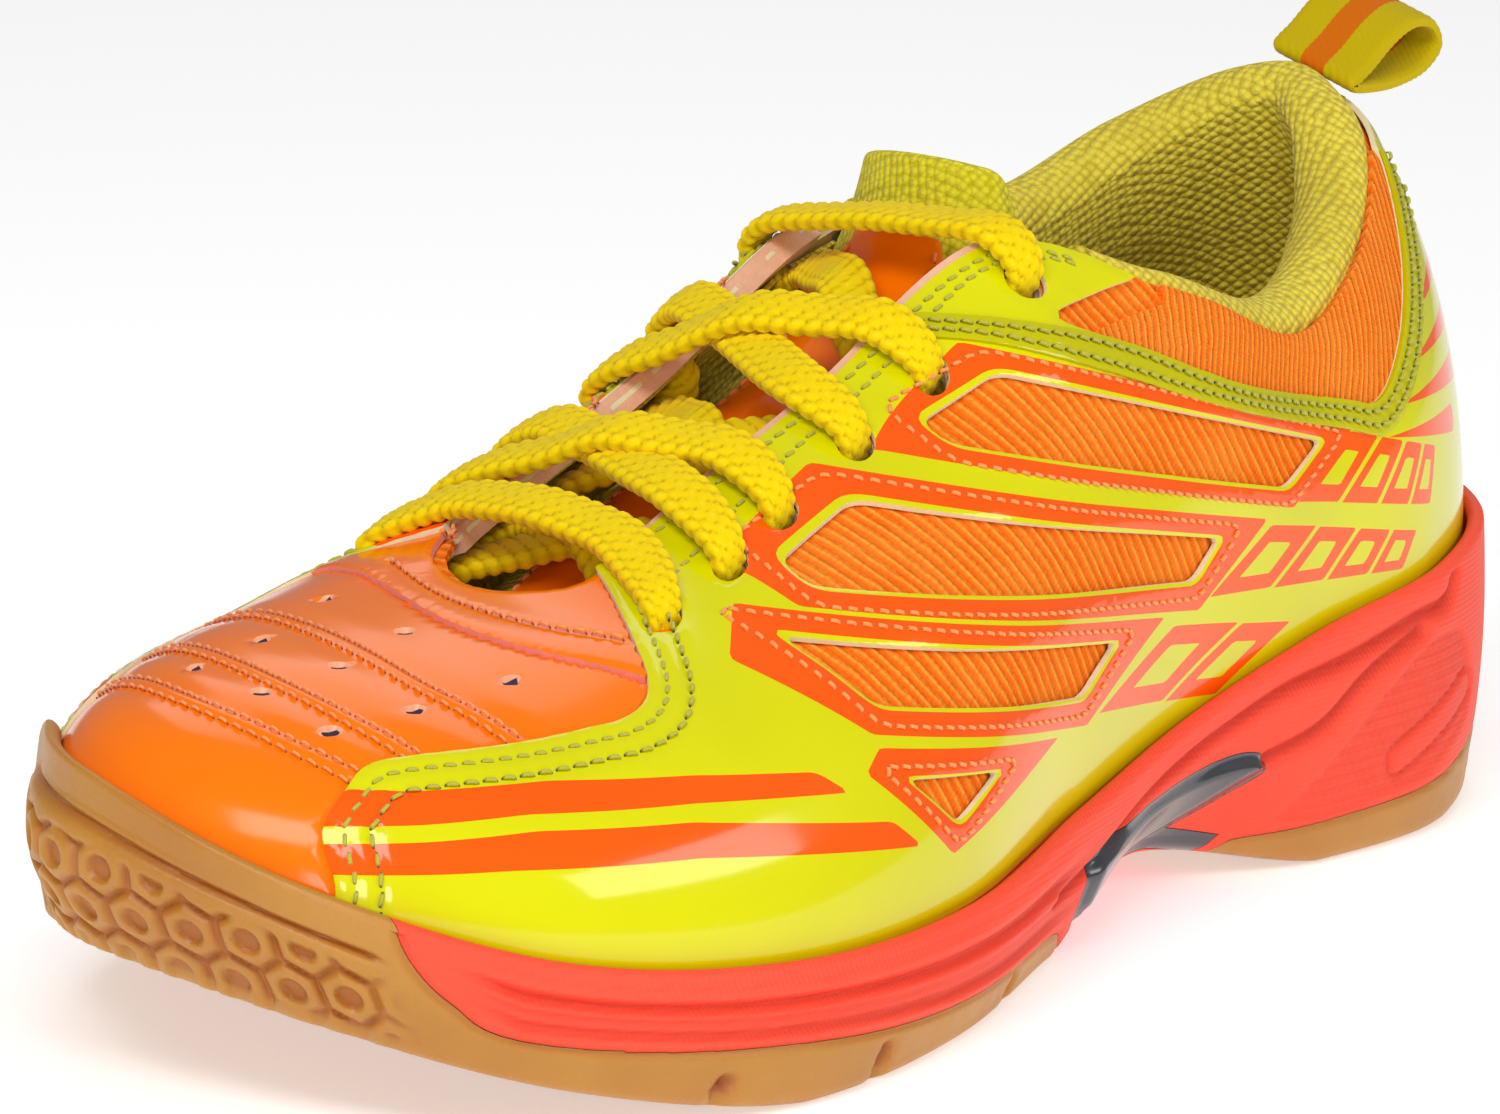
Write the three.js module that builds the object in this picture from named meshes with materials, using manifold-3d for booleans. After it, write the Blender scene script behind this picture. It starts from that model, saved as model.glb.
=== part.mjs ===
// Court shoe for racket sports, left foot.
// Millimetres, +Z up, heel towards +X, toe towards -X, outer (lateral) side towards -Y.
// The origin is on the ground, under the middle of the shoe.
import * as THREE from "three";
import { mergeVertices } from "three/addons/utils/BufferGeometryUtils.js";
import Module from "manifold-3d";

const wasm = await Module();
wasm.setup();

// ---------------------------------------------------------------- driving dimensions

// The shapes below are drawn about the ball of the foot, then moved to put the origin under
// the middle of the whole shoe.
const ORIGIN_SHIFT = [-11.8, 8, 0];

// Layer thicknesses of the upper, and the clearance between neighbouring layers.
const GAP = 0.35;
const SKIN_THICKNESS = 1.1;
const MESH_THICKNESS = 0.9;
const STIFFENER_THICKNESS = 1.2;
const LINING_THICKNESS = 0.7;
const BOARD_THICKNESS = 1.8;
const SOCKLINER_THICKNESS = 4;

// Sole.
const SOLE_WALL_THICKNESS = 3.2;
const GROUND_CHAMFER = 2.5;
const GUM_WALL = 5;
const BOARD_INSET = 4.4;
const SOCKLINER_INSET = 5.2;
const CUP_ROWS = [1, 0.8, 0.6, 0.4, 0.2];

// Collar roll, from its largest radius round the heel to its smallest at the eyestays.
const ROLL_RADIUS = 5.6;
const ROLL_RADIUS_FRONT = 2.4;
const COLLAR_BULGE = 7;
const COLLAR_HALF_SPAN = 4.4;
const FOAM_HALF_SPAN = 3.5;
const KNIT_THICKNESS = 0.9;

// Lacing.
const EYELET_RADIUS = 3.2;
const LACE_WIDTH = 8;
const LACE_THICKNESS = 2.2;
const LACE_WIDTH_IN_EYELET = 4.4;
const LACE_OVER = 5.2;
const LACE_UNDER = -5.8;
const LACE_CROSSING_LIFT = 2.8;
const LACE_TUCK = -8;
const LACE_LEDGE = 0.15;
const AGLET_LENGTH = 22;
const AGLET_RADIUS = 1.9;

// Pull tab.
const TAB_WIDTH = 16;
const TAB_THICKNESS = 1.6;

// Mesh resolution.
const COLUMNS_PER_STATION = 2;
const ROWS_PER_HEIGHT = 8;
const PUNCH_SIDES = 8;

// The upper is a skin drawn through twenty stations: heel back, lateral side, toe, medial side.
// Each station runs from the feather line, where the upper meets the sole, to its top edge:
// [feather x, y, z, top x, y, z, lower handle rise, lower handle out, upper handle drop, upper handle out]
const UPPER_STATIONS = [
  [145, 0, 28, 131, 1, 105, 30, 3, 16, 15],
  [136, -25, 28, 122, -14, 100, 30, 1, 16, 12],
  [111, -36, 28, 104, -25, 86, 24, 2, 14, 13],
  [78, -38, 26, 80, -31, 78, 20, 3, 16, 8],
  [44, -40, 24, 52, -30, 88, 24, 3, 18, 10],
  [10, -47, 21, 24, -17, 96, 28, 4, 14, 20],
  [-28, -58, 18, -8, -13, 78, 25, 3, 8, 24],
  [-64, -59, 17, -34, -12, 66, 22, 3, 7, 24],
  [-96, -49, 21, -50, -12, 58, 21, 3, 6, 24],
  [-119, -27, 26, -55, -7, 56, 23, 3, 8, 30],
  [-127, 2, 29, -56, 0, 55, 24, 2, 7, 36],
  [-116, 20, 28, -54, 8, 56, 22, 2, 8, 28],
  [-96, 35, 23, -47, 14, 58, 20, 3, 8, 20],
  [-64, 44, 18, -32, 16, 64, 21, 3, 9, 18],
  [-28, 42, 18, -4, 17, 76, 25, 3, 11, 17],
  [10, 35, 21, 26, 19, 91, 28, 3, 15, 14],
  [44, 32, 24, 56, 28, 92, 24, 3, 18, 8],
  [78, 34, 26, 84, 31, 86, 20, 3, 18, 6],
  [111, 35, 28, 108, 27, 95, 24, 2, 16, 10],
  [136, 24, 28, 123, 16, 102, 30, 1, 16, 12],
];

// The sole at the same stations: [bottom edge x, y, z, height of the lip that cups the upper]
const SOLE_STATIONS = [
  [149, 0, 9, 46],
  [141, -26, 6, 43],
  [114, -42, 2.5, 39],
  [82, -43, 2.5, 35],
  [44, -36, 9, 28],
  [10, -47, 2.5, 22],
  [-28, -61, 2.5, 18],
  [-64, -65, 2.5, 18],
  [-96, -54, 8, 22],
  [-117, -33, 15, 31],
  [-126, 1, 20, 39],
  [-116, 21, 18, 39],
  [-97, 38, 11, 29],
  [-64, 48, 2.5, 20],
  [-28, 46, 2.5, 20],
  [10, 38, 2.5, 23],
  [44, 32, 9, 29],
  [78, 36, 2.5, 35],
  [112, 40, 2.5, 40],
  [141, 25, 6, 44],
];
const STATIONS = UPPER_STATIONS.length;

// Side outlines, as x, z points. Those of the medial side are the same, a little higher.
const MEDIAL_RISE = 3;
const ANKLE_OUTLINE = [
  [50, 92], [36, 88], [27, 85.5], [61, 73], [87, 67.5], [96, 66],
  [105, 74], [113, 82], [119, 91], [123, 99], [126, 125], [50, 125],
];
const WINDOW_OUTLINES = [
  [[-1, 74], [13, 79.5], [81, 62.5], [70, 57.5], [0, 71.5]],
  [[-34, 60], [-18, 66], [52, 53], [45, 48], [-34, 57.5]],
  [[-44, 53], [22, 43.5], [11, 38], [-38, 45]],
  [[-38, 36.5], [-17, 34], [-29, 29.5]],
];

// Plan outlines, as x, y points.
const VAMP_REAR_LATERAL = [[-119, -28], [-112, -27], [-100, -30], [-89, -35], [-75, -40], [-68, -38]];
const THROAT_FRONT = [[-66, -35], [-72, -23], [-73, -12], [-71, -2], [-64, 14], [-60, 24]];
const VAMP_REAR_MEDIAL = [[-66, 31], [-75, 33], [-88, 29], [-98, 25], [-108, 22], [-116, 22]];
const VAMP_TOE_X = -170;
const VAMP_HALF_WIDTH = 70;
const THROAT_REAR_X = -46;

// Sole outlines, as x, z points.
const FORE_GUM_OUTLINE = [
  [-170, -5], [14, -5], [12, 3], [4, 5.5], [-35, 6.5], [-72, 9.5],
  [-100, 13.5], [-113, 20], [-120, 27], [-122, 70], [-170, 70],
];
const HEEL_GUM_OUTLINE = [
  [57, -5], [170, -5], [170, 20], [150, 17], [141, 14], [120, 9.5], [103, 7.5], [74, 6.5], [60, 5],
];
const ARCH_OUTLINE = [[13.5, -5], [58, -5], [53, 4], [46, 6.5], [28, 7], [18, 4.5]];
const SHANK_PLATE_OUTLINE = [[15, 6], [28, 8], [46, 7.5], [57, 5], [60, 7.5], [48, 10.5], [27, 11], [14, 9]];
const SHANK_WING_OUTLINE = [
  [15, 14], [17, 6], [24, 4.5], [34, 9], [50, 12.5], [66, 15.5], [68, 18.5], [52, 18.5], [36, 17], [22, 16],
];

// Tongue rows from its sewn front end to its tip: [x, y, z, half width, edge drop, thickness, sideways tilt]
const TONGUE_ROWS = [
  [-69, -2, 43, 14, 2, 3, 0],
  [-52, -1, 47.2, 16, 3.5, 3.2, 0],
  [-33, 1, 55.2, 18, 5, 3.8, 0],
  [-8, 2, 66.2, 20, 6, 4.8, -0.06],
  [9, 2, 75.2, 20, 7, 5.5, -0.12],
  [25, 2, 85.8, 19, 7, 6.5, -0.13],
  [35, 2.5, 95, 17, 6, 7, -0.1],
  [41, 3, 102, 14, 4, 5.5, -0.08],
];
const TONGUE_SHELL = 0.9;

// Eyelets as [station, height on the skin], toe end first. The medial row mirrors the station.
const EYELETS = [
  [7.6, 0.75], [7.03, 0.79], [6.62, 0.82], [6.08, 0.84], [5.62, 0.84], [4.98, 0.88],
];

// Pull tab loop, as x, z points of its centre line from the front root to the rear root.
const TAB_LOOP = [
  [129, 109.2], [133, 112.8], [139, 117.6], [145, 120.4], [150, 119.4], [152, 115.4], [148.5, 111.8],
  [142.5, 109.6], [136, 108],
];
const TAB_TILT = 0.3;
const TAB_Y = 1;

// ---------------------------------------------------------------- small helpers

const mix = (a, b, f) => a + (b - a) * f;
const clamp = (v, low, high) => Math.min(high, Math.max(low, v));
const smooth = (v) => v * v * (3 - 2 * v);
const sumOf = (a, b, scale = 1) => a.map((v, i) => v + b[i] * scale);
const lengthOf = (a) => Math.hypot(...a);
const unit = (a) => a.map((v) => v / (lengthOf(a) || 1));
const dot = (a, b) => a.reduce((total, v, i) => total + v * b[i], 0);
const cross = (a, b) => [
  a[1] * b[2] - a[2] * b[1],
  a[2] * b[0] - a[0] * b[2],
  a[0] * b[1] - a[1] * b[0],
];

// A row of a table of stations at position s: a closed smooth curve through the rows.
function stationRow(table, s) {
  const base = Math.floor(s);
  const f = s - base;
  const row = (k) => table[(((base + k) % STATIONS) + STATIONS) % STATIONS];
  const [a, b, c, d] = [row(-1), row(0), row(1), row(2)];
  return b.map((v, i) => v
    + 0.5 * f * (c[i] - a[i])
    + 0.5 * f * f * (2 * a[i] - 5 * b[i] + 4 * c[i] - d[i])
    + 0.5 * f * f * f * (3 * b[i] - a[i] - 3 * c[i] + d[i]));
}

// An open smooth curve through the rows of a table, at position u from 0 to 1.
function openRow(table, u) {
  const along = clamp(u, 0, 1) * (table.length - 1);
  const base = Math.min(Math.floor(along), table.length - 2);
  const f = along - base;
  const row = (k) => table[clamp(base + k, 0, table.length - 1)];
  const [a, b, c, d] = [row(-1), row(0), row(1), row(2)];
  return b.map((v, i) => v
    + 0.5 * f * (c[i] - a[i])
    + 0.5 * f * f * (2 * a[i] - 5 * b[i] + 4 * c[i] - d[i])
    + 0.5 * f * f * f * (3 * b[i] - a[i] - 3 * c[i] + d[i]));
}

// Level direction pointing out of the shoe at station s.
function outward(s) {
  const step = 0.01;
  const before = stationRow(UPPER_STATIONS, s - step);
  const after = stationRow(UPPER_STATIONS, s + step);
  return unit([before[1] - after[1], after[0] - before[0], 0]);
}

// Point of the skin at station s and height t, from 0 at the feather line to 1 at the top edge.
function skinPoint(s, t) {
  const [bx, by, bz, tx, ty, tz, rise, lowOut, drop, highOut] = stationRow(UPPER_STATIONS, s);
  const out = outward(s);
  const low = sumOf([bx, by, bz + rise], out, lowOut);
  const high = sumOf([tx, ty, tz - drop], out, highOut);
  const r = 1 - t;
  return [0, 1, 2].map((i) => r * r * r * [bx, by, bz][i] + 3 * r * r * t * low[i]
    + 3 * r * t * t * high[i] + t * t * t * [tx, ty, tz][i]);
}

function skinNormal(s, t) {
  const step = 0.01;
  const along = sumOf(skinPoint(s + step, t), skinPoint(s - step, t), -1);
  const up = sumOf(skinPoint(s, Math.min(1, t + step)), skinPoint(s, Math.max(0, t - step)), -1);
  return unit(cross(up, along));
}

// Point at a distance from the skin, outwards when positive.
const skin = (s, t, offset) => sumOf(skinPoint(s, t), skinNormal(s, t), offset);

// Stations from one position to another, on the shared columns in between.
function columns(from, to) {
  const list = [from];
  const first = Math.floor(from * COLUMNS_PER_STATION + 0.25) + 1;
  for (let k = first; k / COLUMNS_PER_STATION < to - 0.1; k += 1) {
    list.push(k / COLUMNS_PER_STATION);
  }
  list.push(to);
  return list;
}

// Heights on the skin from one to another, on the shared rows in between.
function heights(low, high) {
  const list = [low];
  for (let k = Math.floor(low * ROWS_PER_HEIGHT + 0.2) + 1; k / ROWS_PER_HEIGHT < high - 0.03; k += 1) {
    list.push(k / ROWS_PER_HEIGHT);
  }
  list.push(high);
  return list;
}

// ---------------------------------------------------------------- solids

function geometryOf(points, faces) {
  const geometry = new THREE.BufferGeometry();
  geometry.setAttribute("position", new THREE.Float32BufferAttribute(points.flat(), 3));
  geometry.setIndex(faces.flat());
  return geometry;
}

function volumeOf(points, faces) {
  return faces.reduce((total, [a, b, c]) => total + dot(points[a], cross(points[b], points[c])) / 6, 0);
}

function outwardFacing(points, faces) {
  const turned = volumeOf(points, faces) < 0 ? faces.map(([a, b, c]) => [a, c, b]) : faces;
  return geometryOf(points, turned);
}

// Loops of points joined one to the next. The loops are closed round themselves, and the row of
// loops is closed as well, or ends in caps made by the cap function from a loop's own indices.
// In a folded loft the second half of each loop lies behind the first, and splits its squares to
// match, so that stacked sheets stay parallel.
function loft(loops, closed, cap, folded = false) {
  const size = loops[0].length;
  const faces = [];
  const quad = (a, b, c, d, other) => {
    if (other) faces.push([a, b, d], [b, c, d]);
    else faces.push([a, b, c], [a, c, d]);
  };
  const last = closed ? loops.length : loops.length - 1;
  for (let i = 0; i < last; i += 1) {
    const here = i * size;
    const next = ((i + 1) % loops.length) * size;
    for (let j = 0; j < size; j += 1) {
      const k = (j + 1) % size;
      quad(here + j, next + j, next + k, here + k, folded && j >= size / 2);
    }
  }
  if (!closed) {
    cap(size).forEach(([a, b, c]) => faces.push([a, b, c]));
    const start = (loops.length - 1) * size;
    cap(size).forEach(([a, b, c]) => faces.push([start + a, start + c, start + b]));
  }
  return outwardFacing(loops.flat(), faces);
}

// Cap across a loop, by rungs from each point to its opposite number.
function ladderCap(size) {
  const faces = [];
  for (let i = 0; i < size / 2; i += 1) {
    const a = i;
    const b = i + 1;
    const c = (size - i - 1) % size;
    const d = (size - i) % size;
    if (b !== c) faces.push([a, b, c]);
    if (a !== d) faces.push([a, c, d]);
  }
  return faces;
}

// Cap of a strip section, whose points run up one face and back down the other.
function stripCap(size) {
  const faces = [];
  for (let i = 0; i < size / 2 - 1; i += 1) {
    const j = size - 1 - i;
    faces.push([i, i + 1, j - 1], [i, j - 1, j]);
  }
  return faces;
}

// A sheet between two faces: point(s, k, 0) is its outer face and point(s, k, 1) its inner face.
function sheet(stations, rows, point) {
  const loops = stations.map((s) => [
    ...rows.map((k) => point(s, k, 0)),
    ...rows.map((k) => point(s, k, 1)).reverse(),
  ]);
  return loft(loops, false, stripCap, true);
}

// A layer of the upper between two offsets from the skin and two heights on it.
function layer(from, to, low, high, outer, thickness) {
  return sheet(columns(from, to), heights(low, high), (s, t, face) =>
    skin(s, t, outer - face * thickness));
}

function solidOf(geometry) {
  const bare = geometry.clone();
  bare.deleteAttribute("normal");
  bare.deleteAttribute("uv");
  const merged = mergeVertices(bare, 1e-4);
  return new wasm.Manifold(new wasm.Mesh({
    numProp: 3,
    vertProperties: new Float32Array(merged.attributes.position.array),
    triVerts: new Uint32Array(merged.index.array),
  }));
}

function geometryFrom(solid) {
  const mesh = solid.getMesh();
  const geometry = new THREE.BufferGeometry();
  geometry.setAttribute("position", new THREE.BufferAttribute(new Float32Array(mesh.vertProperties), 3));
  geometry.setIndex(new THREE.BufferAttribute(new Uint32Array(mesh.triVerts), 1));
  return geometry;
}

// Only the largest body of a solid, without the crumbs that a cut can leave.
function largest(solid) {
  return solid.decompose().reduce((best, piece) => (piece.volume() > best.volume() ? piece : best));
}

function shapeOf(outline) {
  return new THREE.Shape(outline.map(([u, v]) => new THREE.Vector2(u, v)));
}

// A side outline (x, z) run through the shoe from y0 to y1.
function sidePrism(outline, y0, y1) {
  const geometry = new THREE.ExtrudeGeometry(shapeOf(outline), { depth: y1 - y0, bevelEnabled: false });
  geometry.rotateX(Math.PI / 2);
  geometry.translate(0, y1, 0);
  return solidOf(geometry);
}

// A plan outline (x, y) run from z0 to z1.
function planPrism(outline, z0, z1) {
  const geometry = new THREE.ExtrudeGeometry(shapeOf(outline), { depth: z1 - z0, bevelEnabled: false });
  geometry.translate(0, 0, z0);
  return solidOf(geometry);
}

// An outline moved outwards all round by a distance, or inwards when negative.
function grown(outline, distance) {
  const area = outline.reduce((total, [x, y], i) => {
    const [nx, ny] = outline[(i + 1) % outline.length];
    return total + (x * ny - nx * y) / 2;
  }, 0);
  const side = Math.sign(area) * distance;
  return outline.map(([x, y], i) => {
    const [px, py] = outline[(i + outline.length - 1) % outline.length];
    const [nx, ny] = outline[(i + 1) % outline.length];
    const a = unit([x - px, y - py]);
    const b = unit([nx - x, ny - y]);
    const corner = [a[1] + b[1], -a[0] - b[0]];
    const scale = side / Math.max(0.35, 1 + dot(a, b));
    return [x + corner[0] * scale, y + corner[1] * scale];
  });
}

const raised = (outline, by) => outline.map(([x, z]) => [x, z + by]);

// ---------------------------------------------------------------- materials

const paint = (colour, roughness) => new THREE.MeshStandardMaterial({ color: colour, roughness, metalness: 0 });
const MATERIALS = {
  gum: paint(0xc98f3a, 0.55),
  coral: paint(0xff5a45, 0.6),
  shank: paint(0x3f444a, 0.25),
  orangeSkin: paint(0xff7800, 0.12),
  yellowSkin: paint(0xdde600, 0.12),
  mesh: paint(0xff7a1c, 0.8),
  knit: paint(0xe0cc40, 0.85),
  lining: paint(0xd8c63c, 0.9),
  lace: paint(0xe2c800, 0.8),
  board: paint(0xe8e2d0, 0.9),
  foam: paint(0xf0e6b8, 0.95),
  stiffener: paint(0xded8c8, 0.6),
  clear: paint(0xe8e8d8, 0.3),
};

const shoe = new THREE.Group();

function add(name, geometry, material) {
  geometry.translate(...ORIGIN_SHIFT);
  const mesh = new THREE.Mesh(geometry, MATERIALS[material]);
  mesh.name = name;
  shoe.add(mesh);
}

// ---------------------------------------------------------------- sole

const RING = columns(0, STATIONS).slice(0, -1);

// Height on the skin where it reaches a given level.
function heightAt(s, level) {
  let low = 0;
  let high = 0.6;
  for (let k = 0; k < 20; k += 1) {
    const middle = (low + high) / 2;
    if (skinPoint(s, middle)[2] < level) low = middle;
    else high = middle;
  }
  return (low + high) / 2;
}

// The bottom edge of the sole moved inwards, with a rise.
function soleEdge(s, inset, rise) {
  const [x, y, z] = stationRow(SOLE_STATIONS, s);
  return sumOf([x, y, Math.max(z, GROUND_CHAMFER) + rise], outward(s), -inset);
}

function footbed(s, inset, rise) {
  return sumOf(skinPoint(s, 0), outward(s), -inset).map((v, i) => (i === 2 ? v + rise : v));
}

// The whole sole: ground face, outer wall, lip round the upper, inner wall and footbed.
function soleBody() {
  const lipHeight = (s) => heightAt(s, stationRow(SOLE_STATIONS, s)[3]);
  const outerWall = (s, f) => {
    const edge = soleEdge(s, 0, 0);
    const lip = skin(s, lipHeight(s), GAP + SKIN_THICKNESS + SOLE_WALL_THICKNESS);
    return edge.map((v, i) => mix(v, lip[i], f));
  };
  const cupOffset = GAP * 3 + SKIN_THICKNESS;
  const loops = [
    RING.map((s) => soleEdge(s, 3, -GROUND_CHAMFER)),
    RING.map((s) => outerWall(s, 0)),
    RING.map((s) => sumOf(outerWall(s, 0.45), outward(s), 1)),
    RING.map((s) => outerWall(s, 1)),
    ...CUP_ROWS.map((f) => RING.map((s) => skin(s, lipHeight(s) * f, cupOffset))),
    RING.map((s) => footbed(s, -cupOffset, -GAP)),
    RING.map((s) => footbed(s, BOARD_INSET, -GAP)),
  ];
  return solidOf(loft(loops, false, ladderCap));
}

// The space inside the sole's outer wall, above a floor.
function soleCore(wall, floor) {
  const loops = [
    RING.map((s) => soleEdge(s, wall + 1, floor)),
    RING.map((s) => footbed(s, wall - 4, 45)),
  ];
  return solidOf(loft(loops, false, ladderCap));
}

const FAR = 90;
const whole = soleBody();
const foreGum = sidePrism(FORE_GUM_OUTLINE, -FAR, FAR);
const foreGumRoom = sidePrism(grown(FORE_GUM_OUTLINE, GAP), -FAR, FAR);
const heelGum = sidePrism(HEEL_GUM_OUTLINE, -FAR, FAR);
const heelGumRoom = sidePrism(grown(HEEL_GUM_OUTLINE, GAP), -FAR, FAR);
const arch = sidePrism(ARCH_OUTLINE, -FAR, FAR);
const shankPlate = sidePrism(SHANK_PLATE_OUTLINE, -FAR, FAR);
const shankPlateRoom = sidePrism(grown(SHANK_PLATE_OUTLINE, GAP), -FAR, FAR);
const shankWing = sidePrism(SHANK_WING_OUTLINE, -FAR, FAR);
const shankWingRoom = sidePrism(grown(SHANK_WING_OUTLINE, GAP), -FAR, FAR);

const outsoleForefoot = whole.intersect(foreGum).subtract(soleCore(GUM_WALL, 3));
add("outsole_forefoot", geometryFrom(largest(outsoleForefoot)), "gum");
add("outsole_heel", geometryFrom(largest(whole.intersect(heelGum))), "gum");

const shank = whole.intersect(shankPlate.add(shankWing.subtract(soleCore(GUM_WALL, -5))));
add("shank", geometryFrom(largest(shank)), "shank");

const midsoleCore = soleCore(GUM_WALL + GAP, 3 + GAP);
const midsole = whole.subtract(foreGumRoom.subtract(midsoleCore)).subtract(heelGumRoom)
  .subtract(arch).subtract(shankPlateRoom).subtract(shankWingRoom.subtract(soleCore(GUM_WALL + GAP, -6)));
add("midsole", geometryFrom(largest(midsole)), "coral");

// A flat layer over the footbed.
function footLayer(inset, bottom, top) {
  const loops = [
    RING.map((s) => footbed(s, inset, bottom)),
    RING.map((s) => footbed(s, inset, top)),
  ];
  return loft(loops, false, ladderCap);
}

add("strobel_board", footLayer(BOARD_INSET, 0, BOARD_THICKNESS), "board");
const sockBottom = BOARD_THICKNESS + GAP;
add("sockliner", footLayer(SOCKLINER_INSET, sockBottom, sockBottom + SOCKLINER_THICKNESS), "lining");

// ---------------------------------------------------------------- eyelets

const lateralEyelets = EYELETS;
const medialEyelets = EYELETS.map(([s, t]) => [STATIONS - s, t]);

// A round punch through every layer of the upper at an eyelet.
function eyeletPunch([s, t]) {
  const geometry = new THREE.CylinderGeometry(EYELET_RADIUS, EYELET_RADIUS, 12, PUNCH_SIDES);
  const turn = new THREE.Quaternion().setFromUnitVectors(
    new THREE.Vector3(0, 1, 0),
    new THREE.Vector3(...skinNormal(s, t)),
  );
  geometry.applyQuaternion(turn);
  geometry.translate(...skin(s, t, -1));
  return solidOf(geometry);
}

const punches = [...lateralEyelets, ...medialEyelets].map(eyeletPunch).reduce((all, one) => all.add(one));
const punched = (geometry) => solidOf(geometry).subtract(punches);

// ---------------------------------------------------------------- upper, inner layers

const TOP = 0.985;
const SEAM = 0.02;
const TOE_FROM = 8;
const TOE_TO = 12;

// Base layer of mesh, in three parts with seams at the heel and beside the toe.
const meshPart = (from, to) => layer(from + SEAM, to - SEAM, 0, TOP, 0, MESH_THICKNESS);
add("mesh_lateral", geometryFrom(largest(punched(meshPart(0, TOE_FROM)))), "mesh");
add("mesh_medial", geometryFrom(largest(punched(meshPart(TOE_TO, STATIONS)))), "mesh");
add("mesh_vamp", meshPart(TOE_FROM, TOE_TO), "mesh");

// Stiffeners behind the mesh.
const stiffenerFace = -MESH_THICKNESS - GAP;
const stiffener = (from, to, low, high) => layer(from, to, low, high, stiffenerFace, STIFFENER_THICKNESS);
add("toe_puff", stiffener(8.5, 11.5, 0, 0.5), "stiffener");
add("heel_counter", stiffener(-3, 3, 0, 0.625), "stiffener");
const backing = (from, to) => geometryFrom(largest(punched(stiffener(from, to, 0.625, 0.96))));
add("eyestay_backing_lateral", backing(4.5, 8), "clear");
add("eyestay_backing_medial", backing(12, 15.5), "clear");

// Fabric lining of the front and middle of the shoe.
const liningFace = stiffenerFace - STIFFENER_THICKNESS - GAP;
const liningFrom = COLLAR_HALF_SPAN + 0.1;
const lining = layer(liningFrom, STATIONS - liningFrom, 0, 0.93, liningFace, LINING_THICKNESS);
add("vamp_lining", geometryFrom(largest(punched(lining))), "lining");

// ---------------------------------------------------------------- collar

// How full the collar padding is at station s, from 0 at the eyestays to 1 round the heel.
function fullness(s) {
  const side = Math.min(Math.abs(s), Math.abs(STATIONS - s));
  return smooth(clamp((COLLAR_HALF_SPAN - side) / 1.4, 0, 1));
}

// The knit that lines the heel and rolls over the top edge. Position k runs from the footbed
// up the inside and over the roll, and depth goes into the padding.
function collarFace(s, k, depth) {
  const full = fullness(s);
  const radius = mix(ROLL_RADIUS_FRONT, ROLL_RADIUS, full);
  const climb = 0.62;
  if (k <= climb) {
    const t = mix(0.05, 0.84, k / climb);
    const pad = smooth(clamp((t - 0.3) / 0.5, 0, 1)) * COLLAR_BULGE * full;
    return skin(s, t, liningFace - KNIT_THICKNESS - pad + depth);
  }
  const angle = mix(Math.PI, -0.1, (k - climb) / (1 - climb));
  const top = stationRow(UPPER_STATIONS, s).slice(3, 6);
  const out = outward(s);
  const reach = radius - depth;
  const centre = sumOf(top, out, -radius - 0.7);
  const raisedCentre = sumOf(centre, [0, 0, 1], -1.2);
  return sumOf(sumOf(raisedCentre, out, Math.cos(angle) * reach), [0, 0, 1], Math.sin(angle) * reach);
}

const COLLAR_ROWS = 14;
const FOAM_FIRST_ROW = 5;
const FOAM_LAST_ROW = 13;
const collarRows = Array.from({ length: COLLAR_ROWS + 1 }, (_, i) => i / COLLAR_ROWS);
add("collar_lining", sheet(columns(-COLLAR_HALF_SPAN, COLLAR_HALF_SPAN), collarRows, (s, k, face) =>
  collarFace(s, k, face * KNIT_THICKNESS)), "knit");

// Foam between the knit and the stiffener. It starts low inside and ends under the roll.
const foamRows = collarRows.slice(FOAM_FIRST_ROW, FOAM_LAST_ROW + 1);
add("collar_foam", sheet(columns(-FOAM_HALF_SPAN, FOAM_HALF_SPAN), foamRows, (s, k, face) => {
  if (face === 0) return collarFace(s, k, KNIT_THICKNESS + GAP * 1.5);
  const f = (k * COLLAR_ROWS - FOAM_FIRST_ROW) / (FOAM_LAST_ROW - FOAM_FIRST_ROW);
  return skin(s, mix(0.42, 0.96, f), liningFace - GAP * 1.5);
}), "foam");

// ---------------------------------------------------------------- upper, outer skins

const SKIN_FACE = GAP + SKIN_THICKNESS;
const outerLayer = (from, to, low, high) => solidOf(layer(from, to, low, high, SKIN_FACE, SKIN_THICKNESS));

const vampPlan = [
  [VAMP_REAR_LATERAL[0][0], -VAMP_HALF_WIDTH],
  ...VAMP_REAR_LATERAL, ...THROAT_FRONT, ...VAMP_REAR_MEDIAL,
  [VAMP_REAR_MEDIAL[5][0], VAMP_HALF_WIDTH],
  [VAMP_TOE_X, VAMP_HALF_WIDTH],
  [VAMP_TOE_X, -VAMP_HALF_WIDTH],
];
const throatPlan = [...THROAT_FRONT, [THROAT_REAR_X, 20], [THROAT_REAR_X, -14], [-58, -24]];
const FRONT_TOP = 0.97;
const frontSkin = outerLayer(7.5, 12.5, 0, FRONT_TOP);
const throatPiece = planPrism(grown(throatPlan, -GAP / 2), 0, 120);
const throatRoom = planPrism(grown(throatPlan, GAP / 2), 0, 120);
const vampRoom = planPrism(grown(vampPlan, GAP / 2), 0, 120);

const vamp = frontSkin.intersect(planPrism(grown(vampPlan, -GAP / 2), 0, 120));
add("vamp", geometryFrom(largest(vamp)), "orangeSkin");
const throatOverlay = frontSkin.intersect(throatPiece).subtract(punches);
add("throat_overlay", geometryFrom(largest(throatOverlay)), "orangeSkin");

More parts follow.
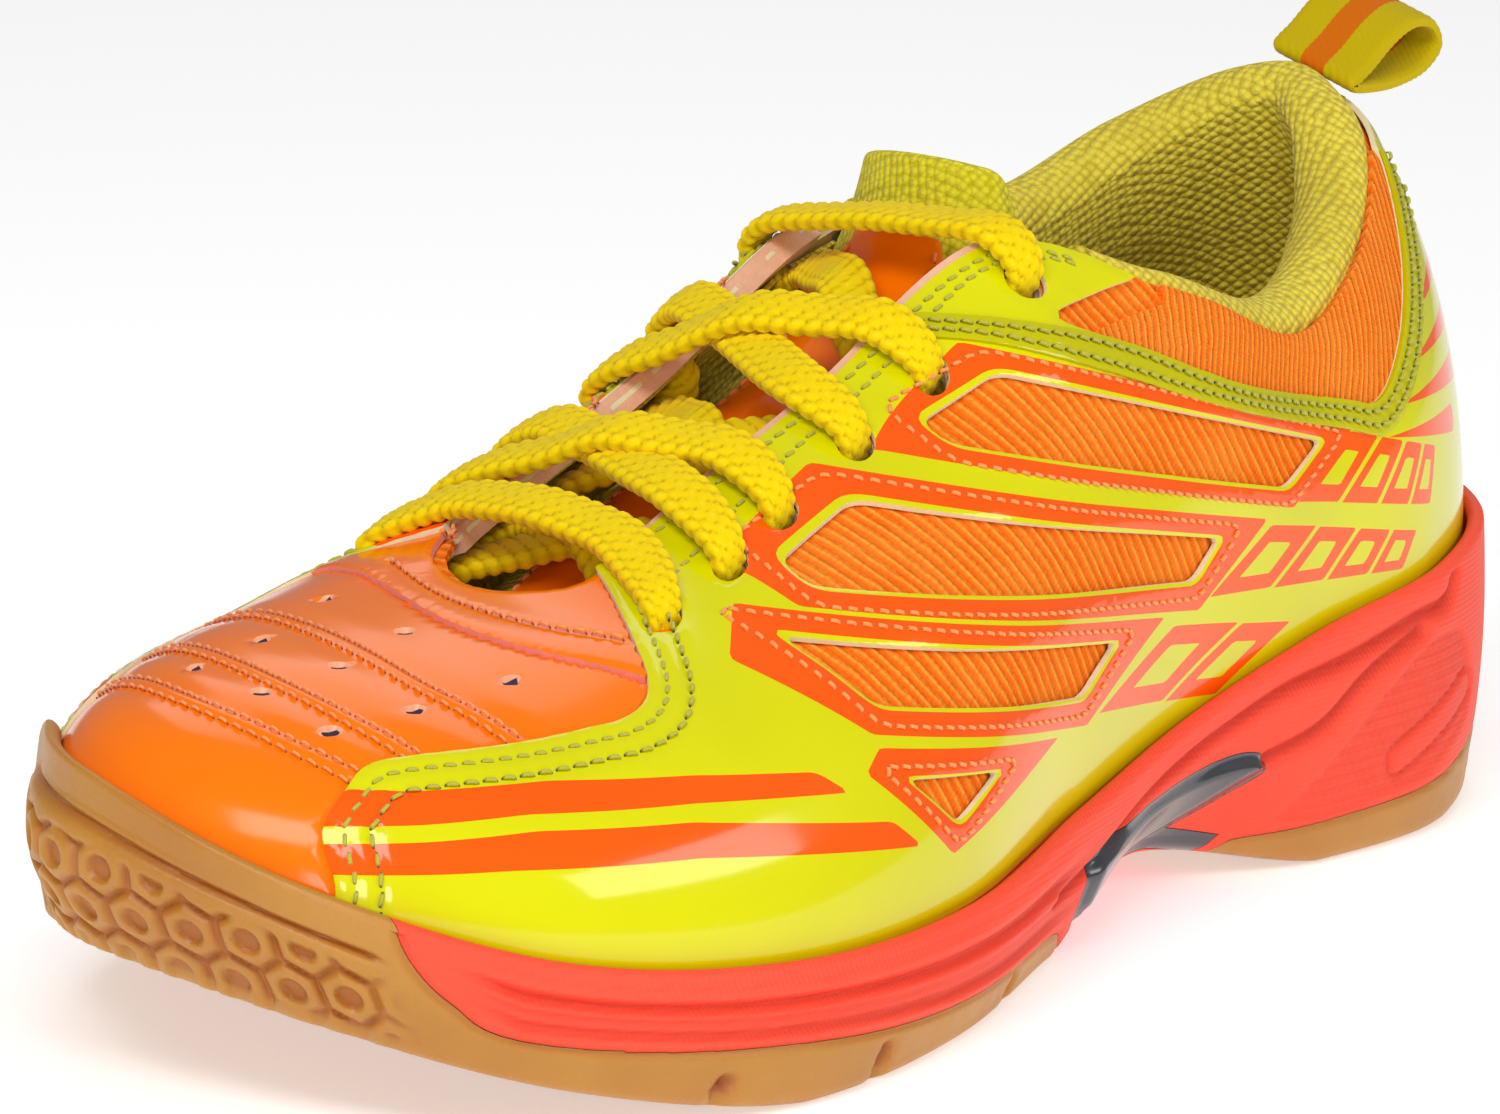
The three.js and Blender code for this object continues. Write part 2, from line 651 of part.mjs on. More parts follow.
// Ankle panel and quarter of one side.
const HEEL_STRIP_HALF = 0.22;
function side(name, from, to, rise) {
  const skinSide = outerLayer(from, to, 0, 0.97);
  const ankle = raised(ANKLE_OUTLINE, rise);
  const reach = name === "lateral" ? [-FAR, 0] : [0, FAR];
  const ankleRoom = sidePrism(grown(ankle, GAP / 2), ...reach);
  const panel = skinSide.intersect(sidePrism(grown(ankle, -GAP / 2), ...reach));
  add(`ankle_panel_${name}`, geometryFrom(largest(panel)), "mesh");
  const windows = WINDOW_OUTLINES
    .map((outline) => sidePrism(raised(outline, rise), ...reach))
    .reduce((all, one) => all.add(one));
  const quarter = skinSide.subtract(vampRoom).subtract(throatRoom).subtract(ankleRoom)
    .subtract(windows).subtract(punches);
  add(`quarter_${name}`, geometryFrom(largest(quarter)), "yellowSkin");
}
side("lateral", HEEL_STRIP_HALF, 9.2, 0);
side("medial", 10.8, STATIONS - HEEL_STRIP_HALF, MEDIAL_RISE);

// Narrow strip over the back seam.
add("heel_strip", layer(-HEEL_STRIP_HALF + SEAM, HEEL_STRIP_HALF - SEAM, 0, 0.97, SKIN_FACE, SKIN_THICKNESS), "yellowSkin");

// ---------------------------------------------------------------- tongue

// Point of the tongue: u along it, v across it from -1 to 1, and depth below its outer face.
function tonguePoint(u, v, depth) {
  const [x, y, z, half, drop, , tilt] = openRow(TONGUE_ROWS, u);
  const ahead = openRow(TONGUE_ROWS, Math.min(1, u + 0.02));
  const behind = openRow(TONGUE_ROWS, Math.max(0, u - 0.02));
  const run = unit([ahead[0] - behind[0], 0, ahead[2] - behind[2]]);
  const down = [run[2], 0, -run[0]];
  const across = v * half;
  const fall = drop * v * v - tilt * across;
  return sumOf([x, y + across, z], down, fall + depth);
}

// A sheet of the tongue between two depths, with a margin of whole columns and rows at its edges.
const TONGUE_COLUMNS = 14;
const TONGUE_ACROSS = 8;
function tongueSheet(margin, top, bottom) {
  const steps = (count) => Array.from({ length: count + 1 - 2 * margin }, (_, i) => (i + margin) / count);
  return sheet(steps(TONGUE_COLUMNS), steps(TONGUE_ACROSS), (u, k, face) => {
    const thickness = openRow(TONGUE_ROWS, u)[5];
    const depth = face === 0 ? top(thickness) : bottom(thickness);
    return tonguePoint(u, 2 * k - 1, depth);
  });
}
add("tongue_face", tongueSheet(0, () => 0, () => TONGUE_SHELL), "orangeSkin");
add("tongue_foam", tongueSheet(1, () => TONGUE_SHELL + 0.25, (h) => h - 0.95), "foam");
add("tongue_lining", tongueSheet(0, (h) => h - 0.7, (h) => h), "knit");

// ---------------------------------------------------------------- lace

// A stop on the lace's route: place, width direction, width and thickness there.
const stop = (place, across, width = LACE_WIDTH, thickness = LACE_THICKNESS) => ({ place, across, width, thickness });

const throatDirection = (s) => {
  const step = 0.2;
  return unit(sumOf(skinPoint(s - step, 0.9), skinPoint(s + step, 0.9), -1));
};

// Through an eyelet, from the inside to the outside or the other way.
function eyeletStops([s, t], outwards) {
  const across = throatDirection(s);
  const levels = [LACE_UNDER + 0.2, -2.9, -0.6, 1.6, LACE_OVER - 0.2];
  const through = levels.map((level) => stop(skin(s, t, level), across, LACE_WIDTH_IN_EYELET, 2.4));
  return outwards ? through : through.reverse();
}

// The band between two eyelets, over the eyestays or under them.
function band(a, b, over, lift) {
  const level = over ? LACE_OVER : LACE_UNDER;
  const shoulder = ([s, t]) => stop(skin(s, mix(t, 1, 0.5), level), throatDirection(s));
  const from = skin(a[0], 0.99, level);
  const to = skin(b[0], 0.99, level);
  const across = unit(sumOf(throatDirection(a[0]), throatDirection(b[0])));
  const middle = (f) => {
    const rise = lift * smooth(clamp((0.5 - Math.abs(f - 0.5) - LACE_LEDGE) / (0.5 - LACE_LEDGE), 0, 1));
    return stop(sumOf(from.map((v, i) => mix(v, to[i], f)), [0, 0, rise]), across);
  };
  return [shoulder(a), ...[0, LACE_LEDGE, 0.5, 1 - LACE_LEDGE, 1].map(middle), shoulder(b)];
}

// Tail of the lace, tucked along the inside of the shoe.
function tail(stations) {
  return stations.map(([s, t], i) => {
    const up = unit(sumOf(skinPoint(s, t + 0.05), skinPoint(s, t - 0.05), -1));
    return stop(skin(s, t, mix(LACE_UNDER, LACE_TUCK, Math.min(1, (i + 1) / 3))), up, 5);
  });
}
const LATERAL_TAIL = [[5.1, 0.8], [5.4, 0.7], [5.8, 0.6], [6.2, 0.53], [6.6, 0.48], [7, 0.45]];
const MEDIAL_TAIL = [[14.2, 0.75], [13.95, 0.65], [13.6, 0.57], [13.3, 0.5], [13, 0.46]];

const L = lateralEyelets;
const M = medialEyelets;
const laceStops = [
  ...tail(LATERAL_TAIL).reverse(), ...eyeletStops(L[5], true),
  ...band(L[5], M[5], true, 1), ...eyeletStops(M[5], false),
  ...band(M[5], L[4], false, 4.4), ...eyeletStops(L[4], true),
  ...band(L[4], M[3], true, LACE_CROSSING_LIFT + 1), ...eyeletStops(M[3], false),
  ...band(M[3], L[2], false, 4.4), ...eyeletStops(L[2], true),
  ...band(L[2], M[1], true, LACE_CROSSING_LIFT + 1), ...eyeletStops(M[1], false),
  ...band(M[1], L[0], false, 4.4), ...eyeletStops(L[0], true),
  ...band(L[0], M[0], true, 1), ...eyeletStops(M[0], false),
  ...band(M[0], L[1], false, 1.4), ...eyeletStops(L[1], true),
  ...band(L[1], M[2], true, 0.5), ...eyeletStops(M[2], false),
  ...band(M[2], L[3], false, 1.4), ...eyeletStops(L[3], true),
  ...band(L[3], M[4], true, 0.5), ...eyeletStops(M[4], false),
  ...tail(MEDIAL_TAIL),
];

function laceGeometry(stops) {
  const section = [[-1, 0], [-0.7, -1], [0.7, -1], [1, 0], [0.7, 1], [-0.7, 1]];
  const loops = stops.map(({ place, across, width, thickness }, i) => {
    const before = stops[Math.max(0, i - 1)].place;
    const after = stops[Math.min(stops.length - 1, i + 1)].place;
    const run = unit(sumOf(after, before, -1));
    const flat = unit(sumOf(across, run, -dot(across, run)));
    const thin = cross(run, flat);
    return section.map(([u, v]) => sumOf(sumOf(place, flat, u * width / 2), thin, v * thickness / 2));
  });
  return loft(loops, false, stripCap);
}
add("lace", laceGeometry(laceStops), "lace");

// Aglets on both ends of the lace.
function aglet(name, end, before) {
  const run = unit(sumOf(end.place, before.place, -1));
  const geometry = new THREE.CylinderGeometry(AGLET_RADIUS, AGLET_RADIUS, AGLET_LENGTH, 10);
  const turn = new THREE.Quaternion().setFromUnitVectors(new THREE.Vector3(0, 1, 0), new THREE.Vector3(...run));
  geometry.applyQuaternion(turn);
  geometry.translate(...sumOf(end.place, run, AGLET_LENGTH / 2 + GAP));
  add(name, geometry, "clear");
}
aglet("aglet_lateral", laceStops[0], laceStops[1]);
aglet("aglet_medial", laceStops[laceStops.length - 1], laceStops[laceStops.length - 2]);

// ---------------------------------------------------------------- pull tab

// Webbing loop standing up from the heel, its width tilted about the shoe's length.
function pullTab() {
  const across = [0, Math.cos(TAB_TILT), Math.sin(TAB_TILT)];
  const count = TAB_LOOP.length;
  const loops = TAB_LOOP.map(([x, z], i) => {
    const [px, pz] = TAB_LOOP[(i + count - 1) % count];
    const [nx, nz] = TAB_LOOP[(i + 1) % count];
    const run = unit([nx - px, 0, nz - pz]);
    const thin = [run[2], 0, -run[0]];
    return [[-1, -1], [1, -1], [1, 1], [-1, 1]].map(([u, v]) =>
      sumOf(sumOf([x, TAB_Y, z], across, u * TAB_WIDTH / 2), thin, v * TAB_THICKNESS / 2));
  });
  return loft(loops, true, stripCap);
}
add("pull_tab", pullTab(), "lace");

export default shoe;
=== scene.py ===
import math

import bmesh
import bpy
import numpy as np
from mathutils import Matrix, Vector
from mathutils.geometry import delaunay_2d_cdt
from mathutils.kdtree import KDTree


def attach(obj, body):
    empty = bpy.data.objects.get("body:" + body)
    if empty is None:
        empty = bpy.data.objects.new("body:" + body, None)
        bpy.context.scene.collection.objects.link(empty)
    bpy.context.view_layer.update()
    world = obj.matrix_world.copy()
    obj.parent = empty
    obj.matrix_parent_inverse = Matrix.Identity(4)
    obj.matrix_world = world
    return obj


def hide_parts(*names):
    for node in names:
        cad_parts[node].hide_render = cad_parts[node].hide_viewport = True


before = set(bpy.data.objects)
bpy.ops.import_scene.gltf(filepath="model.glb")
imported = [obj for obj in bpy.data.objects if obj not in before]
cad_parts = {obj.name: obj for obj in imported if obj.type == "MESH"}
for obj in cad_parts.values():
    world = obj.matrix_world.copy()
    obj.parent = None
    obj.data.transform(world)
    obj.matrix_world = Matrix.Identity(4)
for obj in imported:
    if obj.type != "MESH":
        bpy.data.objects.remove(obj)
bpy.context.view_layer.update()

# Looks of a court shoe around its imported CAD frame. Shapes are worked out in millimetres about the
# ball of the foot, as the CAD does, and moved to the shared frame when a piece is made.
MM = 0.001
ORIGIN_SHIFT = np.array([-11.8, 8.0, 0.0])
UP = np.array([0.0, 0.0, 1.0])

# ------------------------------------------------------------------ driving dimensions

GAP = 0.35
SKIN_THICKNESS = 1.1
TOP_FACE = GAP + SKIN_THICKNESS
MESH_THICKNESS = 0.9
LINING_FACE = -2.8
KNIT_THICKNESS = 0.9
ROLL_RADIUS = 5.6
ROLL_RADIUS_FRONT = 2.4
COLLAR_BULGE = 7.0
COLLAR_HALF_SPAN = 4.4
ROLL_REACH = 0.6
EYELET_RADIUS = 3.2
LACE_WIDTH = 8.4
LACE_THICKNESS = 2.8
LACE_WIDTH_IN_EYELET = 5.4
GROUND_CHAMFER = 2.5
MEDIAL_RISE = 3.0
HEEL_STRIP_HALF = 0.22

# Each station: [feather x, y, z, top x, y, z, lower rise, lower out, upper drop, upper out]
UPPER_STATIONS = np.array([
    [145, 0, 28, 131, 1, 105, 30, 3, 16, 15],
    [136, -25, 28, 122, -14, 100, 30, 1, 16, 12],
    [111, -36, 28, 104, -25, 86, 24, 2, 14, 13],
    [78, -38, 26, 80, -31, 78, 20, 3, 16, 8],
    [44, -40, 24, 52, -30, 88, 24, 3, 18, 10],
    [10, -47, 21, 24, -17, 96, 28, 4, 14, 20],
    [-28, -58, 18, -8, -13, 78, 25, 3, 8, 24],
    [-64, -59, 17, -34, -12, 66, 22, 3, 7, 24],
    [-96, -49, 21, -50, -12, 58, 21, 3, 6, 24],
    [-119, -27, 26, -55, -7, 56, 23, 3, 8, 30],
    [-127, 2, 29, -56, 0, 55, 24, 2, 7, 36],
    [-116, 20, 28, -54, 8, 56, 22, 2, 8, 28],
    [-96, 35, 23, -47, 14, 58, 20, 3, 8, 20],
    [-64, 44, 18, -32, 16, 64, 21, 3, 9, 18],
    [-28, 42, 18, -4, 17, 76, 25, 3, 11, 17],
    [10, 35, 21, 26, 19, 91, 28, 3, 15, 14],
    [44, 32, 24, 56, 28, 92, 24, 3, 18, 8],
    [78, 34, 26, 84, 31, 86, 20, 3, 18, 6],
    [111, 35, 28, 108, 27, 95, 24, 2, 16, 10],
    [136, 24, 28, 123, 16, 102, 30, 1, 16, 12],
], float)
STATIONS = len(UPPER_STATIONS)

# The sole at the same stations: [bottom edge x, y, z, height of the lip that cups the upper]
SOLE_STATIONS = np.array([
    [149, 0, 9, 46], [141, -26, 6, 43], [114, -42, 2.5, 39], [82, -43, 2.5, 35],
    [44, -36, 9, 28], [10, -47, 2.5, 22], [-28, -61, 2.5, 18], [-64, -65, 2.5, 18],
    [-96, -54, 8, 22], [-117, -33, 15, 31], [-126, 1, 20, 39], [-116, 21, 18, 39],
    [-97, 38, 11, 29], [-64, 48, 2.5, 20], [-28, 46, 2.5, 20], [10, 38, 2.5, 23],
    [44, 32, 9, 29], [78, 36, 2.5, 35], [112, 40, 2.5, 40], [141, 25, 6, 44],
], float)

# Tongue rows from its sewn end to its tip: [x, y, z, half width, edge drop, thickness, tilt]
TONGUE_ROWS = np.array([
    [-69, -2, 43, 14, 2, 3, 0], [-52, -1, 47.2, 16, 3.5, 3.2, 0], [-33, 1, 55.2, 18, 5, 3.8, 0],
    [-8, 2, 66.2, 20, 6, 4.8, -0.06], [9, 2, 75.2, 20, 7, 5.5, -0.12],
    [24.5, 2.8, 85.8, 18.7, 7, 6.5, -0.13], [33, 4.6, 95.4, 16.2, 6, 7, -0.12],
    [37, 6.4, 104, 12.8, 4, 5.5, -0.12],
], float)

# Eyelets as (station, height), toe end first, on the lateral side.
EYELETS = [(7.6, 0.75), (7.03, 0.79), (6.62, 0.82), (6.08, 0.84), (5.62, 0.84), (4.98, 0.88)]

# Side outlines as (x, z), for the lateral side. The medial ones are MEDIAL_RISE higher.
WINDOWS = [
    [(-1, 74), (13, 79.5), (81, 62.5), (70, 57.5), (0, 71.5)],
    [(-34, 60), (-18, 66), (52, 53), (45, 48), (-34, 57.5)],
    [(-44, 53), (22, 43.5), (11, 38), (-38, 45)],
    [(-38, 36.5), (-17, 34), (-29, 29.5)],
]
WINDOW_FRAMES = [
    [(-10, 71), (11, 83), (88.5, 63), (71, 54.5)],
    [(-40, 60), (-18, 69.5), (64, 54), (46, 43.8), (-38, 55.5)],
    [(-53, 51), (-45, 56), (36, 44.5), (12, 34), (-41, 42)],
    [(-45, 38), (-41, 40.5), (2, 34.5), (-31, 26)],
]
STRIPES = [
    [(-119, 37.5), (-112, 41), (-90, 41.4), (-71, 40.7), (-53, 39.2), (-49, 36.4), (-73, 38), (-95, 38.6)],
    [(-122, 33), (-117, 36), (-95, 37), (-75, 36.2), (-43, 32.2), (-38, 28.4), (-76, 32.4), (-100, 33.2)],
]
# Rows of slanted cells behind the windows: top start and end, bottom start and end, count, narrowing.
CELL_ROWS = [
    ((88, 63.4), (112, 58), (71.5, 55), (109.5, 49), 4, 0.86),
    ((65, 53.4), (105.5, 46.6), (48, 45), (101.5, 40.6), 4, 0.84),
    ((39, 43.2), (72, 38.2), (15, 34.8), (53, 29.9), 2, 0.72),
]
ANKLE_BACK = [(61, 73), (87, 67.5), (96, 66.5), (105, 73.5), (113, 82), (119, 91), (123, 99)]
ANKLE_LINE = [(49, 89.6), (36, 87.8), (27, 85.4), (40, 80.5), *ANKLE_BACK]
BAND_UPPER = [(7, 86.3), (17, 85.6), (29, 83.4), (40, 80.3), *ANKLE_BACK]
BAND_LOWER = [
    (6, 83.4), (15, 82.6), (30, 78.4), (60, 69.4), (86, 63.6), (97, 62), (109, 70.5), (118, 81), (125, 92),
]

# The quarter's front edge as (station, height), from the sole up to the throat.
QUARTER_FRONT = [
    (8.88, 0.0), (8.88, 0.1), (9.0, 0.2), (9.0, 0.3), (8.98, 0.37), (8.78, 0.42), (8.41, 0.475),
    (8.12, 0.51), (7.93, 0.525), (7.8, 0.56), (7.78, 0.62), (7.84, 0.71), (7.91, 0.83), (7.96, 0.97),
]

# Plan lines as (x, y): the throat overlay's front edge, the vamp's sewn bands and its holes.
THROAT_FRONT = [(-66, -36), (-72, -23), (-73, -12), (-71, -2), (-64, 14), (-60, 25)]
VAMP_BANDS = [
    [(-103, 25), (-106, 19), (-111, 2), (-111, -14), (-109, -26)],
    [(-92, 28), (-97, 14), (-101, -2), (-102, -16), (-101.5, -29)],
    [(-78, 31), (-82, 14), (-87, -6), (-89.5, -20), (-89, -34)],
]
VAMP_HOLES = [
    (-73, 14), (-78, -5), (-80, -25), (-91, 8), (-92.5, -7), (-94.5, -22),
    (-103, 8), (-104.5, -5), (-105.5, -18),
]

# ------------------------------------------------------------------ the skin of the upper


def unit(v):
    return v / np.maximum(np.linalg.norm(v, axis=-1, keepdims=True), 1e-9)


def smooth(v):
    v = np.clip(v, 0, 1)
    return v * v * (3 - 2 * v)


def mix(a, b, f):
    return a + (b - a) * f


def grid(rows, columns):
    """Two arrays that pair every row value with every column value."""
    return np.meshgrid(rows, columns, indexing="ij")


def rows_at(table, s, closed=True):
    """Rows of a table at fractional positions s, on a smooth curve through the rows."""
    s = np.asarray(s, float)
    count = len(table)
    base = np.floor(s).astype(int)
    if not closed:
        base = np.clip(base, 0, count - 2)
    f = (s - base)[..., None]

    def row(k):
        return table[(base + k) % count] if closed else table[np.clip(base + k, 0, count - 1)]

    a, b, c, d = row(-1), row(0), row(1), row(2)
    cubic = f ** 3 * (3 * b - a - 3 * c + d)
    return b + 0.5 * (f * (c - a) + f * f * (2 * a - 5 * b + 4 * c - d) + cubic)


def outward(s):
    """Level direction pointing out of the shoe."""
    step = 0.01
    before = rows_at(UPPER_STATIONS, np.asarray(s, float) - step)
    after = rows_at(UPPER_STATIONS, np.asarray(s, float) + step)
    level = [before[..., 1] - after[..., 1], after[..., 0] - before[..., 0], np.zeros(before.shape[:-1])]
    return unit(np.stack(level, -1))


def skin_point(s, t):
    s, t = np.broadcast_arrays(np.asarray(s, float), np.asarray(t, float))
    row = rows_at(UPPER_STATIONS, s)
    out = outward(s)
    foot, top = row[..., 0:3], row[..., 3:6]
    low = foot + UP * row[..., 6:7] + out * row[..., 7:8]
    high = top - UP * row[..., 8:9] + out * row[..., 9:10]
    t = t[..., None]
    r = 1 - t
    return r ** 3 * foot + 3 * r * r * t * low + 3 * r * t * t * high + t ** 3 * top


def skin_normal(s, t):
    step = 0.01
    along = skin_point(s + step, t) - skin_point(s - step, t)
    up = skin_point(s, np.minimum(1, t + step)) - skin_point(s, np.maximum(0, t - step))
    return unit(np.cross(up, along))


def skin(s, t, offset=0.0):
    s, t, offset = np.broadcast_arrays(*(np.asarray(v, float) for v in (s, t, offset)))
    return skin_point(s, t) + skin_normal(s, t) * offset[..., None]


def on_skin(points, axes=(0, 2), low=0, high=10):
    """(station, height) of points given by two of their coordinates, between two stations."""
    points = np.asarray(points, float)
    axes = list(axes)
    s, t = grid(np.linspace(low + 0.02, high - 0.02, 240), np.linspace(0.01, 1.0, 100))
    seen = skin_point(s, t)[..., axes].reshape(-1, 2)
    nearest = [int(np.argmin(((seen - p) ** 2).sum(1))) for p in points]
    found = np.stack([s.ravel()[nearest], t.ravel()[nearest]], -1)
    step = 1e-3
    for _ in range(5):
        here = skin_point(found[:, 0], found[:, 1])[:, axes]
        ds = (skin_point(found[:, 0] + step, found[:, 1])[:, axes] - here) / step
        dt = (skin_point(found[:, 0], found[:, 1] + step)[:, axes] - here) / step
        det = ds[:, 0] * dt[:, 1] - ds[:, 1] * dt[:, 0]
        det = np.where(abs(det) < 1.0, np.where(det < 0, -1.0, 1.0), det)
        off = points - here
        along = off[:, 0] * dt[:, 1] - off[:, 1] * dt[:, 0]
        up = ds[:, 0] * off[:, 1] - ds[:, 1] * off[:, 0]
        move = np.stack([along, up], -1)
        found = found + np.clip(move / det[:, None], -0.08, 0.08)
        found[:, 0] = np.clip(found[:, 0], low, high)
        found[:, 1] = np.clip(found[:, 1], 0, 1)
    return found


def on_side(points, medial):
    """(station, height) of side points (x, z) on one side of the shoe."""
    if medial:
        return on_skin(np.asarray(points, float) + [0, MEDIAL_RISE], low=10, high=20)
    return on_skin(points)


def mirrored(points):
    """The same (station, height) places on the other side of the shoe."""
    return np.array([(STATIONS - s, t) for s, t in points], float)


# ------------------------------------------------------------------ lines and outlines


def closed_line(line):
    """An outline with its first point repeated at its end."""
    line = np.asarray(line, float)
    return np.vstack([line, line[:1]])


def evenly(line, step, closed=False):
    """A line resampled at about the given step, keeping its ends."""
    line = closed_line(line) if closed else np.asarray(line, float)
    lengths = np.linalg.norm(np.diff(line, axis=0), axis=1)
    along = np.concatenate([[0], np.cumsum(lengths)])
    count = max(2, int(round(along[-1] / step)) + 1)
    places = np.linspace(0, along[-1], count)
    result = np.stack([np.interp(places, along, line[:, k]) for k in range(line.shape[1])], -1)
    return result[:-1] if closed else result


def curve(points, steps=12):
    """A smooth open line through the points."""
    points = np.asarray(points, float)
    return rows_at(points, np.linspace(0, len(points) - 1, (len(points) - 1) * steps + 1), closed=False)


def rounded(points, radius):
    """A closed outline with its corners rounded."""
    points = np.asarray(points, float)
    result = []
    for i, corner in enumerate(points):
        before, after = points[i - 1], points[(i + 1) % len(points)]
        reach_in = min(radius, 0.4 * np.linalg.norm(before - corner))
        reach_out = min(radius, 0.4 * np.linalg.norm(after - corner))
        start = corner + unit(before - corner) * reach_in
        end = corner + unit(after - corner) * reach_out
        for f in np.linspace(0, 1, 6):
            result.append((1 - f) ** 2 * start + 2 * f * (1 - f) * corner + f * f * end)
    return np.array(result)


def grown(points, distance):
    """A closed outline moved outwards, or inwards when the distance is negative."""
    points = np.asarray(points, float)
    area = sum(points[i - 1][0] * p[1] - p[0] * points[i - 1][1] for i, p in enumerate(points))
    turn = 1 if area > 0 else -1
    result = []
    for i, corner in enumerate(points):
        a = unit(corner - points[i - 1])
        b = unit(points[(i + 1) % len(points)] - corner)
        normal_a, normal_b = np.array([a[1], -a[0]]) * turn, np.array([b[1], -b[0]]) * turn
        middle = unit(normal_a + normal_b)
        result.append(corner + middle * distance / max(0.45, float(middle @ normal_a)))
    return np.array(result)


def inside(points, outline):
    """Which of the points lie inside a closed outline."""
    outline = np.asarray(outline, float)
    x, y = points[:, 0], points[:, 1]
    result = np.zeros(len(points), bool)
    for (x0, y0), (x1, y1) in zip(outline, np.roll(outline, -1, axis=0)):
        if y0 == y1:
            continue
        crosses = (y0 > y) != (y1 > y)
        result ^= crosses & (x < (x1 - x0) * (y - y0) / (y1 - y0) + x0)
    return result


class Nearness:
    """Distance from points to a set of densely sampled lines."""

    def __init__(self, lines, step=0.3):
        dense = np.vstack([evenly(line, step) for line in lines])
        self.tree = KDTree(len(dense))
        for i, p in enumerate(dense):
            self.tree.insert(Vector(p), i)
        self.tree.balance()

    def __call__(self, points):
        return np.array([self.tree.find(Vector(p))[2] for p in points])


# ------------------------------------------------------------------ making meshes


def in_metres(points):
    """Points in millimetres as a list of points in the frame's metres."""
    return ((np.asarray(points) + ORIGIN_SHIFT) * MM).tolist()


def piece(name, points, faces, materials, indices=None, body="shoe", slot=None, replaces=(), crease=40):
    """A mesh object from points in millimetres, with outward faces, riding on a body."""
    mesh = bpy.data.meshes.new(name)
    mesh.from_pydata(in_metres(points), [], [list(map(int, f)) for f in faces])
    for material in materials:
        mesh.materials.append(material)
    if indices is not None:
        mesh.polygons.foreach_set("material_index", np.asarray(indices, np.int32))
    shaped = bmesh.new()
    shaped.from_mesh(mesh)
    bmesh.ops.recalc_face_normals(shaped, faces=shaped.faces[:])
    shaped.to_mesh(mesh)
    shaped.free()
    mesh.shade_smooth()
    mesh.set_sharp_from_angle(angle=math.radians(crease))
    made = bpy.data.objects.new(name, mesh)
    bpy.context.scene.collection.objects.link(made)
    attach(made, body)
    if replaces:
        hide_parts(*replaces)
    return made


def add_values(made, name, values):
    """Gives every point of a piece a number that its material reads."""
    attribute = made.data.attributes.new(name, "FLOAT", "POINT")
    attribute.data.foreach_set("value", np.array(values, np.float32))


def grid_faces(rows, columns, wrap_rows=False, wrap_columns=False):
    r = np.arange(rows if wrap_rows else rows - 1)[:, None]
    c = np.arange(columns if wrap_columns else columns - 1)[None, :]
    next_r, next_c = (r + 1) % rows, (c + 1) % columns
    corners = [r * columns + c, r * columns + next_c, next_r * columns + next_c, next_r * columns + c]
    return np.stack(np.broadcast_arrays(*corners), -1).reshape(-1, 4)


def slab(outer, inner):
    """Points and faces of the closed solid between two grids of points."""
    rows, columns = outer.shape[:2]
    count = rows * columns
    faces = grid_faces(rows, columns)
    ring = list(range(columns))
    ring += [r * columns + columns - 1 for r in range(1, rows)]
    ring += [(rows - 1) * columns + c for c in range(columns - 2, -1, -1)]
    ring += [r * columns for r in range(rows - 2, 0, -1)]
    ring = np.array(ring)
    after = np.roll(ring, -1)
    sides = np.stack([after, ring, ring + count, after + count], -1)
    points = np.vstack([outer.reshape(-1, 3), inner.reshape(-1, 3)])
    return points, np.vstack([faces, faces[:, ::-1] + count, sides])


def sweep(centres, across, widths, thicknesses, section):
    """Points of a band whose section is swept along centres, and the band's flat and thin directions."""
    runs = unit(np.gradient(centres, axis=0))
    flat = unit(across - runs * (across * runs).sum(-1, keepdims=True))
    thin = np.cross(runs, flat)
    section = np.asarray(section, float)
    points = (centres[:, None] + flat[:, None] * (section[None, :, :1] * widths[:, None, None] / 2)
              + thin[:, None] * (section[None, :, 1:2] * thicknesses[:, None, None] / 2))
    return points, flat, thin


def tube_faces(rings, sides):
    faces = grid_faces(rings, sides, wrap_columns=True).tolist()
    faces.append(list(range(sides)))
    faces.append([(rings - 1) * sides + i for i in range(sides)][::-1])
    return faces


# Millimetres of skin for each station and for its whole height, about.
CHART = np.array([30.0, 75.0])
ROW_RATIO = 0.87
SEAM_HALF = 0.75
SEAM_SINK = 0.3


